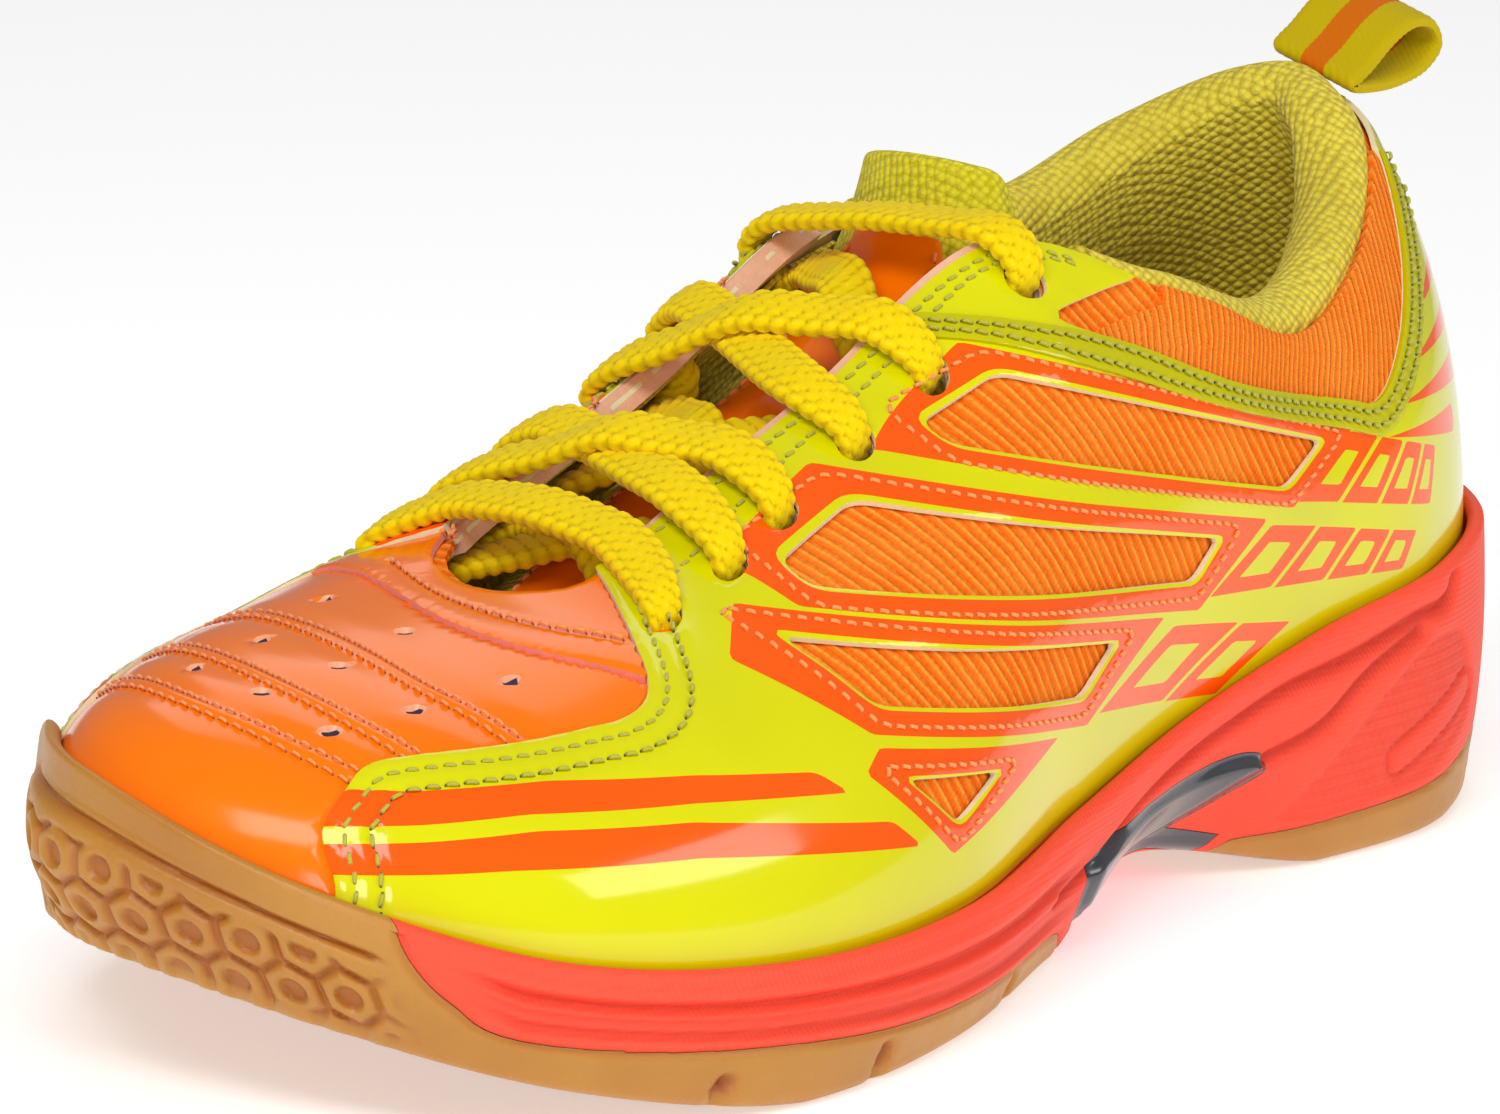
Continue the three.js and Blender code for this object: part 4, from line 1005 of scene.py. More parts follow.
VAMP_OUTLINE = [
    (8.4, 0.02), (8.5, 0.2), (8.45, 0.34), (8.1, 0.42), (7.6, 0.48), (7.5, 0.7), (8, 0.93), (9, 0.95),
]
vamp_outline = [*VAMP_OUTLINE, (10, 0.95), *mirrored(VAMP_OUTLINE)[::-1].tolist()]
vamp_seams = [row for line in band_lines for row in (beside(line, -1.1), beside(line, 1.1))]
hole_rims = [(eyelet_ring(s, t, 1.55), 2) for s, t in vamp_holes]
# The smaller discs, print 3, are the near-black painted shade inside each perforation.
hole_rims += [(eyelet_ring(s, t, 1.1), 3) for s, t in vamp_holes]
panel("vamp_skin", vamp_outline, [ORANGE, PINK_EDGE, HOLE_RIM, HOLE_SHADE], seams=vamp_seams, prints=hole_rims,
      relief=vamp_relief, spacing=1.1, slot="orange_patent", replaces=["vamp"])
stitches("vamp_stitches", [skin_line(seam, TOP_FACE + 0.25) for seam in vamp_seams], ORANGE_THREAD,
         radius=0.22, slot="orange_patent")

THROAT_SIDE = [(7.74, 0.66), (7.76, 0.8), (7.8, 0.965)]
throat_outline = [*throat_line, *mirrored(THROAT_SIDE).tolist(), *[tuple(p) for p in THROAT_SIDE[::-1]]]
throat_seam = on_front(curve([(-62, -29), (-66, -19), (-67, -8), (-65, 2), (-58, 16)], 6))


def throat_relief(base, s, t):
    lap = 1.1 * (1 - smooth(throat_gap(base) / 16))
    return lap - (0.9 + lap) * under_quarter(s, t) * smooth(front_edge_gap(base) / 2.0)


panel("throat_skin", throat_outline, [ORANGE, PINK_EDGE], seams=[throat_seam], relief=throat_relief,
      spacing=1.0, slot="orange_patent", replaces=["throat_overlay"])
stitches("throat_stitches", [skin_line(throat_seam, TOP_FACE + 0.9)], ORANGE_THREAD, slot="orange_patent")

# Raw edge of the layers along both sides of the throat.
THROAT_EDGES = [("lateral", 4.75, 7.9), ("medial", STATIONS - 7.9, STATIONS - 4.75)]
EDGE_LOW = 0.94
EDGE_TOP = 0.985
EDGE_DEPTH = 2.7
for side, start, end in THROAT_EDGES:
    edge_s, edge_t = grid(np.linspace(start, end, 160), np.linspace(EDGE_LOW, EDGE_TOP, 8))
    rounding = 0.5 * np.sin(np.clip((edge_t - EDGE_LOW) / (EDGE_TOP - EDGE_LOW), 0, 1) * np.pi / 2) ** 6
    wobble = 0.0012 * np.sin(edge_s * 31) * np.sin(edge_s * 13)
    upper_face = skin(edge_s, edge_t, TOP_FACE - 0.15 - rounding)
    points, faces = slab(upper_face, skin(edge_s, edge_t + wobble, -EDGE_DEPTH))
    piece(f"throat_edge_{side}", points, faces, [THROAT_EDGE], slot="lining_knit")

# ------------------------------------------------------------------ collar


def fullness(s):
    side = np.minimum(abs(s), abs(STATIONS - s))
    return smooth((COLLAR_HALF_SPAN - side) / 1.4)


def collar_face(s, k, depth):
    """The knit's face: k runs up the inside and over the roll, and depth goes into the padding."""
    full = fullness(s)[..., None]
    radius = mix(ROLL_RADIUS_FRONT, ROLL_RADIUS, full)
    climb = 0.62
    t = mix(0.05, 0.84, np.minimum(k / climb, 1))
    pad = smooth((t - 0.3) / 0.5) * COLLAR_BULGE * full[..., 0]
    inner = skin(s, t, LINING_FACE - KNIT_THICKNESS - pad + depth)
    angle = mix(np.pi, -0.55, np.clip((k - climb) / (1 - climb), 0, 1))[..., None]
    out = outward(s)
    shift = mix(-0.7, ROLL_REACH, smooth((abs(s) - 0.4) / 0.6) * full[..., 0])[..., None]
    centre = rows_at(UPPER_STATIONS, s)[..., 3:6] - out * (radius - shift) - UP * 1.2
    reach = radius - depth[..., None]
    roll = centre + out * np.cos(angle) * reach + UP * np.sin(angle) * reach
    return np.where((k <= climb)[..., None], inner, roll)


collar_s, collar_k = grid(np.linspace(-COLLAR_HALF_SPAN, COLLAR_HALF_SPAN, 400), np.linspace(0, 1, 112))
quilt = 0.35 * np.sin(collar_s * 2.3) * np.sin(collar_k * 9) * fullness(collar_s)
collar_front = collar_face(collar_s, collar_k, quilt)
collar_back = collar_face(collar_s, collar_k, KNIT_THICKNESS + quilt)
points, faces = slab(collar_front, collar_back)
collar = piece("collar_pad", points, faces, [KNIT], slot="lining_knit",
               replaces=["collar_lining", "collar_foam"])

# ------------------------------------------------------------------ tongue


def tongue_row(u):
    """Row of the tongue's table at u, from 0 at its sewn end to 1 at its tip."""
    return rows_at(TONGUE_ROWS, u * (len(TONGUE_ROWS) - 1), closed=False)


def tongue_point(u, v, depth):
    """Places in the tongue: v goes from side to side, and depth down from its face."""
    row = tongue_row(u)
    ahead, behind = tongue_row(np.minimum(1, u + 0.02)), tongue_row(np.maximum(0, u - 0.02))
    level = np.zeros_like(u)
    run = unit(np.stack([ahead[..., 0] - behind[..., 0], level, ahead[..., 2] - behind[..., 2]], -1))
    down = np.stack([run[..., 2], level, -run[..., 0]], -1)
    across = v * row[..., 3]
    fall = row[..., 4] * v * v - row[..., 6] * across
    return row[..., 0:3] + np.stack([level, across, level], -1) + down * (fall + depth)[..., None]


def tongue_pad():
    """A soft pad whose face bulges between its rounded sides, closed all round."""
    along = np.linspace(0, 1, 150)
    ring = np.linspace(0, 2 * np.pi, 84, endpoint=False)
    u, a = grid(along, ring)
    tip_end = np.sqrt(1 - np.clip((u - 0.965) / 0.035, 0, 1) ** 2 * 0.97)
    sewn_end = np.sqrt(1 - np.clip((0.02 - u) / 0.02, 0, 1) ** 2 * 0.9)
    end = tip_end * sewn_end
    v = np.sign(np.cos(a)) * abs(np.cos(a)) ** 0.45 * mix(0.9, 1.0, end)
    thick = tongue_row(u)[..., 5]
    lift = np.sign(np.sin(a)) * abs(np.sin(a)) ** 0.6
    depth = thick / 2 - lift * thick / 2 * end
    points = tongue_point(u, v, depth)
    return piece("tongue_pad", points.reshape(-1, 3), tube_faces(len(along), len(ring)), [TONGUE_KNIT],
                 body="tongue", slot="lining_knit", replaces=["tongue_lining", "tongue_foam"])


tongue_pad()
TONGUE_PANEL_HALF = 0.62
TONGUE_PANEL_END = 0.82
panel_u, panel_v = grid(np.linspace(0.03, TONGUE_PANEL_END, 130), np.linspace(-1, 1, 40))
narrowed = 1 - np.clip((panel_u - TONGUE_PANEL_END + 0.08) / 0.1, 0, 1) ** 2 * 0.5
panel_half = TONGUE_PANEL_HALF * np.sqrt(np.clip(narrowed, 0.05, 1))
panel_edge = 0.6 * smooth((1 - abs(panel_v)) / 0.08)
panel_low = tongue_point(panel_u, panel_v * panel_half, np.full_like(panel_u, 0.7))
panel_top = tongue_point(panel_u, panel_v * panel_half, -panel_edge + 0.35 - 0.15 * np.cos(panel_u * 60))
points, faces = slab(panel_top, panel_low)
piece("tongue_skin", points, faces, [ORANGE], body="tongue", slot="orange_patent", replaces=["tongue_face"])
tongue_rows = []
for edge in (-0.86, 0.86):
    row_u = np.linspace(0.08, TONGUE_PANEL_END - 0.02, 90)
    row_v = edge * np.interp(row_u, panel_u[:, 0], panel_half[:, 0])
    line = tongue_point(row_u, row_v, np.full_like(row_u, -0.2))
    above = tongue_point(row_u, row_v, np.full_like(row_u, -1.2))
    tongue_rows.append((line, unit(above - line)))
stitches("tongue_stitches", tongue_rows, ORANGE_THREAD, slot="orange_patent", body="tongue")

# ------------------------------------------------------------------ lace

LACE_OVER = 3.7
LACE_UNDER = -5.6
LACE_TUCK = -8.0
LACE_LEDGE = 0.15
LACE_CROSSING_LIFT = 2.6
LACE_TAIL_WIDTH = 5.0


def stop(place, across, width=LACE_WIDTH, thickness=LACE_THICKNESS):
    return np.concatenate([place, across, [width, thickness]])


def throat_direction(s):
    """Direction along the throat's edge, towards the heel."""
    ahead = 0.2 if s < 10 else -0.2
    return unit(skin_point(s - ahead, 0.9) - skin_point(s + ahead, 0.9))


def eyelet_stops(eyelet, outwards):
    levels = [LACE_UNDER + 0.2, -2.9, -0.6, 1.6, LACE_OVER - 0.2]
    across = throat_direction(eyelet[0])
    through = [stop(skin(*eyelet, level), across, LACE_WIDTH_IN_EYELET, 2.6) for level in levels]
    return through if outwards else through[::-1]


def band(a, b, over, lift):
    level = LACE_OVER if over else LACE_UNDER
    start, end = skin(a[0], 0.99, level), skin(b[0], 0.99, level)
    across = unit(throat_direction(a[0]) + throat_direction(b[0]))

    def shoulder(eyelet):
        return stop(skin(eyelet[0], mix(eyelet[1], 1, 0.5), level), throat_direction(eyelet[0]))

    between = []
    for f in (0, LACE_LEDGE, 0.3, 0.5, 0.7, 1 - LACE_LEDGE, 1):
        rise = lift * smooth((0.5 - abs(f - 0.5) - LACE_LEDGE) / (0.5 - LACE_LEDGE))
        between.append(stop(mix(start, end, f) + UP * rise, across))
    return [shoulder(a), *between, shoulder(b)]


def tail(places):
    result = []
    for i, (s, t) in enumerate(places):
        up = unit(skin_point(s, t + 0.05) - skin_point(s, t - 0.05))
        result.append(stop(skin(s, t, mix(LACE_UNDER, LACE_TUCK, min(1, (i + 1) / 3))), up, LACE_TAIL_WIDTH))
    return result


LATERAL_TAIL = [(5.1, 0.8), (5.4, 0.7), (5.8, 0.6), (6.2, 0.53), (6.6, 0.48), (7, 0.45)]
MEDIAL_TAIL = [(14.2, 0.75), (13.95, 0.65), (13.6, 0.57), (13.3, 0.5), (13, 0.46)]
LATERAL = eyelets_of(False)
MEDIAL = eyelets_of(True)

# The lace's route as (from eyelet, to eyelet, over the eyestays, lift at its middle).
LACE_RUNS = [
    (LATERAL[5], MEDIAL[5], True, 1.0), (MEDIAL[5], LATERAL[4], False, 4.4),
    (LATERAL[4], MEDIAL[3], True, LACE_CROSSING_LIFT + 1), (MEDIAL[3], LATERAL[2], False, 4.4),
    (LATERAL[2], MEDIAL[1], True, LACE_CROSSING_LIFT + 1), (MEDIAL[1], LATERAL[0], False, 4.4),
    (LATERAL[0], MEDIAL[0], True, 1.0), (MEDIAL[0], LATERAL[1], False, 1.4),
    (LATERAL[1], MEDIAL[2], True, 0.5), (MEDIAL[2], LATERAL[3], False, 1.4),
    (LATERAL[3], MEDIAL[4], True, 0.5),
]
lace_stops = tail(LATERAL_TAIL)[::-1]
for start, end, over, lift in LACE_RUNS:
    if over:
        lace_stops += eyelet_stops(start, True) + band(start, end, True, lift) + eyelet_stops(end, False)
    else:
        lace_stops += band(start, end, False, lift)
lace_stops += tail(MEDIAL_TAIL)

LACE_STEP = 0.6
LACE_SOFTNESS = 3.2
LACE_SIDES = 36
BRAID_PITCH = 2.6
BRAID_COLUMNS = 5


def softened(line, width):
    """A line smoothed with a bell curve, its two ends kept."""
    reach = int(width * 3 / LACE_STEP)
    weights = np.exp(-0.5 * (np.arange(-reach, reach + 1) * LACE_STEP / width) ** 2)
    weights /= weights.sum()
    padded_line = np.vstack([np.repeat(line[:1], reach, 0), line, np.repeat(line[-1:], reach, 0)])
    result = np.stack([np.convolve(padded_line[:, k], weights, "valid") for k in range(line.shape[1])], -1)
    ease = np.clip(np.minimum(np.arange(len(line)), np.arange(len(line))[::-1]) / reach, 0, 1)[:, None]
    return mix(line, result, ease)


lace_line = np.array(lace_stops)
lengths = np.concatenate([[0], np.cumsum(np.linalg.norm(np.diff(lace_line[:, :3], axis=0), axis=1))])
places = np.arange(0, lengths[-1], LACE_STEP)
lace_line = np.stack([np.interp(places, lengths, lace_line[:, k]) for k in range(8)], -1)
lace_line = softened(lace_line, LACE_SOFTNESS)
ring = np.linspace(0, 2 * np.pi, LACE_SIDES, endpoint=False)
section = np.stack([
    np.sign(np.cos(ring)) * abs(np.cos(ring)) ** 0.7, np.sign(np.sin(ring)) * abs(np.sin(ring)) ** 0.75,
], -1)
lace_across, lace_widths, lace_thicknesses = unit(lace_line[:, 3:6]), lace_line[:, 6], lace_line[:, 7]
points, flat, thin = sweep(lace_line[:, :3], lace_across, lace_widths, lace_thicknesses, section)
column = (section[:, 0] + 1) / 2 * BRAID_COLUMNS
along = (np.arange(len(places)) * LACE_STEP / BRAID_PITCH)[:, None]
plait = abs(np.sin(np.pi * (along + 0.5 * np.floor(column)[None] + 0.35 * (column % 1)[None])))
plait = plait * (0.35 + 0.65 * abs(np.sin(np.pi * column))[None])
facing = flat[:, None] * section[None, :, :1] * 0.35 + thin[:, None] * section[None, :, 1:2]
sag = 0.25 * np.sin(places / 9.0)[:, None, None] * thin[:, None]
points = points + unit(facing) * (0.55 * (plait - 0.5))[..., None] + sag
lace = piece("lace_braided", points.reshape(-1, 3), tube_faces(len(places), LACE_SIDES), [LACE],
             slot="lace_braid", replaces=["lace"], crease=75)
# The plait's relief, which the lace material reads to paint shade between the strands and highlight on them.
add_values(lace, "relief", plait.ravel())

# ------------------------------------------------------------------ pull tab

TAB_WIDTH = 16.0
TAB_THICKNESS = 1.6
TAB_LOOP = [
    (130, 108.5), (134.3, 111.3), (140, 115), (145.5, 117), (150.5, 116.3), (152.5, 113),
    (149, 110), (143.5, 108.5), (137, 107.9),
]
TAB_TILT = 0.3
TAB_Y = 1.0
TAB_STRIPE = 0.3
TAB_RIB = 1.3


def pull_tab():
    loop = rows_at(np.array(TAB_LOOP, float), np.linspace(0, len(TAB_LOOP), 240, endpoint=False))
    count = len(loop)
    run = unit(np.roll(loop, -1, 0) - np.roll(loop, 1, 0))
    centre = np.stack([loop[:, 0], np.full(count, TAB_Y), loop[:, 1]], -1)
    thin = np.stack([run[:, 1], np.zeros(count), -run[:, 0]], -1)
    across = np.array([0, math.cos(TAB_TILT), math.sin(TAB_TILT)])
    v = np.concatenate([np.linspace(-1, 1, 40), np.linspace(1, -1, 40)])
    face = np.concatenate([np.ones(40), -np.ones(40)])
    travelled = np.concatenate([[0], np.cumsum(np.linalg.norm(np.diff(loop, axis=0), axis=1))])[:, None]
    rib = 0.16 * abs(np.sin(np.pi * travelled / TAB_RIB + (np.arange(80) % 4) * 0.8))
    half = TAB_THICKNESS / 2 * np.clip((1 - abs(v)) / 0.07, 0.35, 1) ** 0.5
    points = (centre[:, None] + across * (v * TAB_WIDTH / 2)[None, :, None]
              + thin[:, None] * (face * (half + rib))[..., None])
    faces = grid_faces(count, 80, wrap_rows=True, wrap_columns=True)
    middles = abs(v[faces % 80].mean(1))
    indices = (middles < TAB_STRIPE).astype(int)
    piece("pull_tab_webbing", points.reshape(-1, 3), faces, [WEBBING, WEBBING_STRIPE], indices,
          body="pull_tab", slot="webbing", replaces=["pull_tab"])


pull_tab()

# ------------------------------------------------------------------ sole

SOLE_WALL = 3.2
BOARD_INSET = 4.4
CUP_OFFSET = GAP * 3 + SKIN_THICKNESS
WALL_ROWS = 64
CHAMFER_LOOPS = 5
FAR = 90.0
PARTING = 0.12
GUM_SLANT = 0.26
GUM_SLANT_Y = -37.0

# Side lines as (x, z): the gum's top edge, the shank's window and the grooves.
FORE_GUM_TOP = [
    (14, -5), (12.5, 2), (4, 5.5), (-35, 6.5), (-72, 9.5), (-100, 13.5),
    (-108.5, 18.5), (-113, 23.5), (-115, 29), (-116, 36),
]
HEEL_GUM_TOP = [(57, -5), (60, 5), (74, 6.5), (103, 7.5), (120, 9.5), (141, 14), (152, 17.5), (170, 21)]
ARCH = [(13.5, -5), (58, -5), (53, 4), (46, 6.5), (28, 7), (18, 4.5)]
SHANK_PLATE = [(15, 6), (28, 8), (46, 7.5), (57, 5), (60, 7.5), (48, 10.5), (27, 11), (14, 9)]
SHANK_WING = [
    (14.5, 5), (20, 6), (30, 7.5), (42, 8.5), (50, 11), (58, 14.5),
    (65, 17.5), (61, 20.5), (50, 20), (28, 16), (15.5, 15),
]
HEEL_GROOVES = [
    [(2, 12), (16, 14), (36, 20), (53, 25), (68, 29), (84, 31), (101, 34), (111, 35), (115, 39)],
    [(65, 19), (77, 22), (89, 28), (103, 32)],
]
DOTTED_PANEL = [
    (68, 8), (76, 15), (86, 21), (92, 25), (105, 31), (117, 31), (122, 22), (121, 15), (105, 9), (80, 7),
]
BADGE = [(97, 13.5), (119, 20.5)]
BADGE_HALF = 2.6
GUM_NOTCHES = [
    [(-82, -1), (-78, 5.5)], [(-52, -1), (-49.5, 4.5)], [(-13, -1), (-10.5, 4)], [(128, 1), (130, 7)],
]


def closed_curve(points):
    """A smooth closed outline through the points."""
    count = len(points)
    return rows_at(np.asarray(points, float), np.linspace(0, count, count * 6, endpoint=False)).tolist()


def height_at(s, level):
    """How high up the skin, from 0 to 0.6, it reaches a level in millimetres."""
    low, high = np.zeros_like(s), np.full_like(s, 0.6)
    for _ in range(22):
        middle = (low + high) / 2
        below = skin_point(s, middle)[..., 2] < level
        low, high = np.where(below, middle, low), np.where(below, high, middle)
    return (low + high) / 2


def sole_edge(s, inset, rise):
    row = rows_at(SOLE_STATIONS, s)
    edge = np.stack([row[..., 0], row[..., 1], np.maximum(row[..., 2], GROUND_CHAMFER) + rise], -1)
    return edge - outward(s) * inset


def footbed(s, inset, rise):
    return skin_point(s, 0.0) - outward(s) * inset + UP * rise


half_ring = np.sort(np.concatenate([np.linspace(0, 10, 360), np.linspace(8.45, 9.995, 170)]))
ring_s = np.concatenate([half_ring, (STATIONS - half_ring[1:-1])[::-1]])
COUNT = len(ring_s)
lip_t = height_at(ring_s, rows_at(SOLE_STATIONS, ring_s)[:, 3])
lip = skin(ring_s, lip_t, TOP_FACE + SOLE_WALL)
edge = sole_edge(ring_s, 0, 0)
wall_f = np.linspace(0, 1, WALL_ROWS)
wall = mix(edge[None], lip[None], wall_f[:, None, None])
wall_out = outward(ring_s)[None] * np.ones((WALL_ROWS, 1, 1))
wall_z, wall_x = wall[..., 2], wall[..., 0]
is_medial = (ring_s > 10)[None] * np.ones((WALL_ROWS, 1), bool)
side_z = wall_z - np.where(is_medial, 0.6 * MEDIAL_RISE, 0)
gum_x = wall_x - GUM_SLANT * (wall[..., 1] - GUM_SLANT_Y) * smooth((-60 - wall_x) / 40)


def side_gap(line, closed=False, smooth_it=True, x=wall_x, z=side_z):
    """Distance of every wall point from a side line (x, z)."""
    line = curve(line, 6) if smooth_it else np.asarray(line, float)
    if closed:
        line = closed_line(line)
    flat_line = np.stack([line[:, 0], np.zeros(len(line)), line[:, 1]], -1)
    here = np.stack([x.ravel(), np.zeros(x.size), z.ravel()], -1)
    return Nearness([flat_line], 0.4)(here).reshape(wall_x.shape)


def groove(gap, depth, width):
    return depth * np.exp(-(gap / width) ** 2)


# How far each wall point is pressed in, in millimetres.
gum_top = np.interp(gum_x, [p[0] for p in FORE_GUM_TOP[:1:-1]], [p[1] for p in FORE_GUM_TOP[:1:-1]])
toe_reach = smooth((abs(ring_s - 10) - 1.35) / -0.25)[None]
lip_gap = (1 - wall_f)[:, None] * np.linalg.norm(lip - edge, axis=1)[None]
pressed = groove(lip_gap - 5.2, 1.1, 0.62) * smooth((1.3 - abs(ring_s - 10)) / 0.1)[None]
arc = np.concatenate([[0], np.cumsum(np.linalg.norm(np.diff(edge + lip, axis=0), axis=1) / 2)])
arc = arc - arc[np.argmin(abs(ring_s - 10))]


def hexagons(u, v, pitch):
    """Distance from the borders of a honeycomb, and from the middles of its cells."""
    rows = pitch * math.sqrt(3) / 2
    best = np.full((2, *np.broadcast(u, v).shape), 1e9)
    row = np.floor(v / rows)
    for dr in (-1, 0, 1, 2):
        r = row + dr
        shift = (r % 2) * pitch / 2
        base = np.floor((u - shift) / pitch)
        for dc in (0, 1):
            distance = np.hypot(u - shift - (base + dc) * pitch, v - r * rows)
            nearer = distance < best[0]
            best[1] = np.where(nearer, best[0], np.minimum(best[1], distance))
            best[0] = np.where(nearer, distance, best[0])
    return (best[1] - best[0]) / 2, best[0]


HEX_PITCH = 8.2
DOT_PITCH = 2.1
border, centre_gap = hexagons(arc[None], wall_z * 1.15, HEX_PITCH)
hex_area = toe_reach * smooth((lip_gap - 7.2) / 1.6) * smooth((wall_z - 4.5) / 3)
pressed += hex_area * (groove(border, 1.15, 0.7) + 1.0 * smooth((2.3 - centre_gap) / 0.9))
coral_f = (wall_z - gum_top) / np.maximum(lip[None, :, 2] - gum_top, 1)
fore_side = (smooth((5.2 - abs(ring_s - 10)) / 0.5) * smooth((abs(ring_s - 10) - 1.5) / 0.3))[None]
for level, depth in ((0.22, 1.1), (0.42, 0.6), (0.62, 1.0)):
    pressed += fore_side * groove((coral_f - level) * 9, depth, 0.75)
pressed += groove(side_gap(FORE_GUM_TOP, x=gum_x, z=wall_z), 0.5, 0.6)
pressed += groove(side_gap(HEEL_GUM_TOP, z=wall_z), 0.5, 0.6)
for line in HEEL_GROOVES:
    pressed += groove(side_gap(line), 1.5, 1.15)
side_places = np.stack([wall_x.ravel(), side_z.ravel()], -1)
dotted_outline = rounded(DOTTED_PANEL, 4)
panel_here = inside(side_places, dotted_outline).reshape(wall_x.shape)
panel_rim = side_gap(dotted_outline, closed=True, smooth_it=False)
dot_gap = hexagons(wall_x, side_z, DOT_PITCH)[1]
pressed += panel_here * smooth(panel_rim / 1.2) * (0.55 - 0.4 * groove(dot_gap, 1.0, 0.55))
badge_gap = side_gap(BADGE, smooth_it=False)
pressed = mix(pressed, 0.25, smooth((BADGE_HALF + 0.7 - badge_gap) / 0.5))
pressed += groove(badge_gap - BADGE_HALF, 0.75, 0.5)
for line in GUM_NOTCHES:
    pressed += groove(side_gap(line, smooth_it=False), 2.2, 1.1)
wing_line = closed_line(closed_curve(SHANK_WING))
wing_here = inside(side_places, wing_line[:-1]).reshape(wall_x.shape)
pressed -= 1.4 * wing_here * smooth(side_gap(wing_line, smooth_it=False) / 2.6)
fore_ridges = 0.5 * fore_side * np.sin(3 * np.pi * np.clip(coral_f, 0, 1)) ** 2
bulge = 1.1 * np.sin(np.pi * wall_f)[:, None] + fore_ridges
# The wall stays outside the upper that it cups.
wall_t = height_at(ring_s[None] * np.ones_like(wall_z), wall_z)
cupped = skin(ring_s[None], wall_t, CUP_OFFSET + 1.6)
foot_z = rows_at(UPPER_STATIONS, ring_s)[None, :, 2]
room = ((cupped - wall) * wall_out).sum(-1) * smooth((wall_z - foot_z + 11) / 12)
bulge = bulge + np.maximum(room - bulge, 0)
wall = wall + wall_out * (bulge - pressed)[..., None]

loops = []
for angle in np.linspace(0, np.pi / 2, CHAMFER_LOOPS + 1)[:-1]:
    chamfer = sole_edge(ring_s, 3 - 3 * math.sin(angle), -GROUND_CHAMFER * math.cos(angle))
    loops.append(chamfer - outward(ring_s) * (pressed[0] * math.sin(angle))[:, None])
loops += list(wall[:-1])
for angle in np.linspace(0, np.pi, 9):
    loops.append(skin(ring_s, lip_t, TOP_FACE + 1.9 + 1.3 * math.cos(angle)) + UP * 1.3 * math.sin(angle))
for f in (1, 0.8, 0.6, 0.4, 0.2):
    loops.append(skin(ring_s, lip_t * f, CUP_OFFSET - 0.02 * (f == 1)))
loops.append(footbed(ring_s, -CUP_OFFSET, -GAP))
loops.append(footbed(ring_s, BOARD_INSET, -GAP))
# The underside, with wavering grooves across the parts that touch the ground.
TREAD_PITCH = 6.4
TREAD_DEPTH = 1.2
TREAD_WIDTH = 0.8
TREAD_WAVE = 8.0
TREAD_MARGIN = 4.0
ARCH_MIDDLE = 44
ARCH_HALF = 27
rung = np.arange(COUNT // 2 + 1)
across_f = np.linspace(0, 1, 61)
rung_start, rung_end = loops[0][rung], loops[0][(COUNT - rung) % COUNT]
under = mix(rung_start[:, None], rung_end[:, None], across_f[None, :, None])
margin = np.linalg.norm(rung_end - rung_start, axis=1)[:, None] * np.minimum(across_f, 1 - across_f)[None]
zigzag = abs((under[..., 1] / TREAD_WAVE) % 2 - 1) * TREAD_WAVE * 0.7
tread_gap = (under[..., 0] + zigzag) % TREAD_PITCH - TREAD_PITCH / 2
tread = groove(tread_gap, 1.0, TREAD_WIDTH) * smooth((margin - TREAD_MARGIN) / 1.2)
tread *= smooth((abs(under[..., 0] - ARCH_MIDDLE) - ARCH_HALF) / 3)
under[..., 2] += TREAD_DEPTH * tread
sole_points = np.vstack([*loops, under.reshape(-1, 3)])


def ladder(start):
    """Faces across a closed loop, joining each point to the one opposite it."""
    faces = []
    for i in range(COUNT // 2):
        face = [i, i + 1, COUNT - i - 1, (COUNT - i) % COUNT]
        faces.append([start + k for j, k in enumerate(face) if k not in face[:j]][::-1])
    return faces


sole_faces = grid_faces(len(loops), COUNT, wrap_columns=True).tolist()
sole_faces += (grid_faces(len(rung), len(across_f)) + len(loops) * COUNT).tolist()
sole_faces += ladder((len(loops) - 1) * COUNT)
# How far each sole point is pressed in, which the gum and foam materials read to paint shade into the
# grooves.
relief_values = np.zeros((len(loops), COUNT))
relief_values[CHAMFER_LOOPS:CHAMFER_LOOPS + WALL_ROWS - 1] = np.clip(pressed[:-1] / 1.5, 0, 1)
flat_relief = np.concatenate([relief_values.ravel(), tread.ravel()])


def raw_solid(name, points, faces):
    """A closed mesh object in metres, used only as a shape to cut with."""
    mesh = bpy.data.meshes.new(name)
    mesh.from_pydata(in_metres(points), [], faces)
    shaped = bmesh.new()
    shaped.from_mesh(mesh)
    bmesh.ops.remove_doubles(shaped, verts=shaped.verts[:], dist=1e-6)
    bmesh.ops.recalc_face_normals(shaped, faces=shaped.faces[:])
    shaped.to_mesh(mesh)
    shaped.free()
    made = bpy.data.objects.new(name, mesh)
    bpy.context.scene.collection.objects.link(made)
    return made


def toe_slant(x, y):
    """How far the gum's toe boundary moves back towards the medial side."""
    return GUM_SLANT * (y - GUM_SLANT_Y) * smooth((-60 - x) / 40)


def side_prism(outline, slanted=False):
    count = len(outline)
    points = [(x + slanted * toe_slant(x, y), y, z) for y in (-FAR, FAR) for x, z in outline]
    faces = [list(range(count)), [count + i for i in range(count)][::-1]]
    faces += [[i, (i + 1) % count, count + (i + 1) % count, count + i] for i in range(count)]
    return raw_solid("prism", points, faces)


def cut(solid, tool, operation):
    """Change the solid by one boolean step. The tool stays for other cuts."""
    step = solid.modifiers.new("cut", "BOOLEAN")
    step.operation = operation
    step.object = tool
    step.solver = "MANIFOLD"
    shown = solid.evaluated_get(bpy.context.evaluated_depsgraph_get())
    result = bpy.data.meshes.new_from_object(shown)
    solid.modifiers.clear()
    solid.data = result


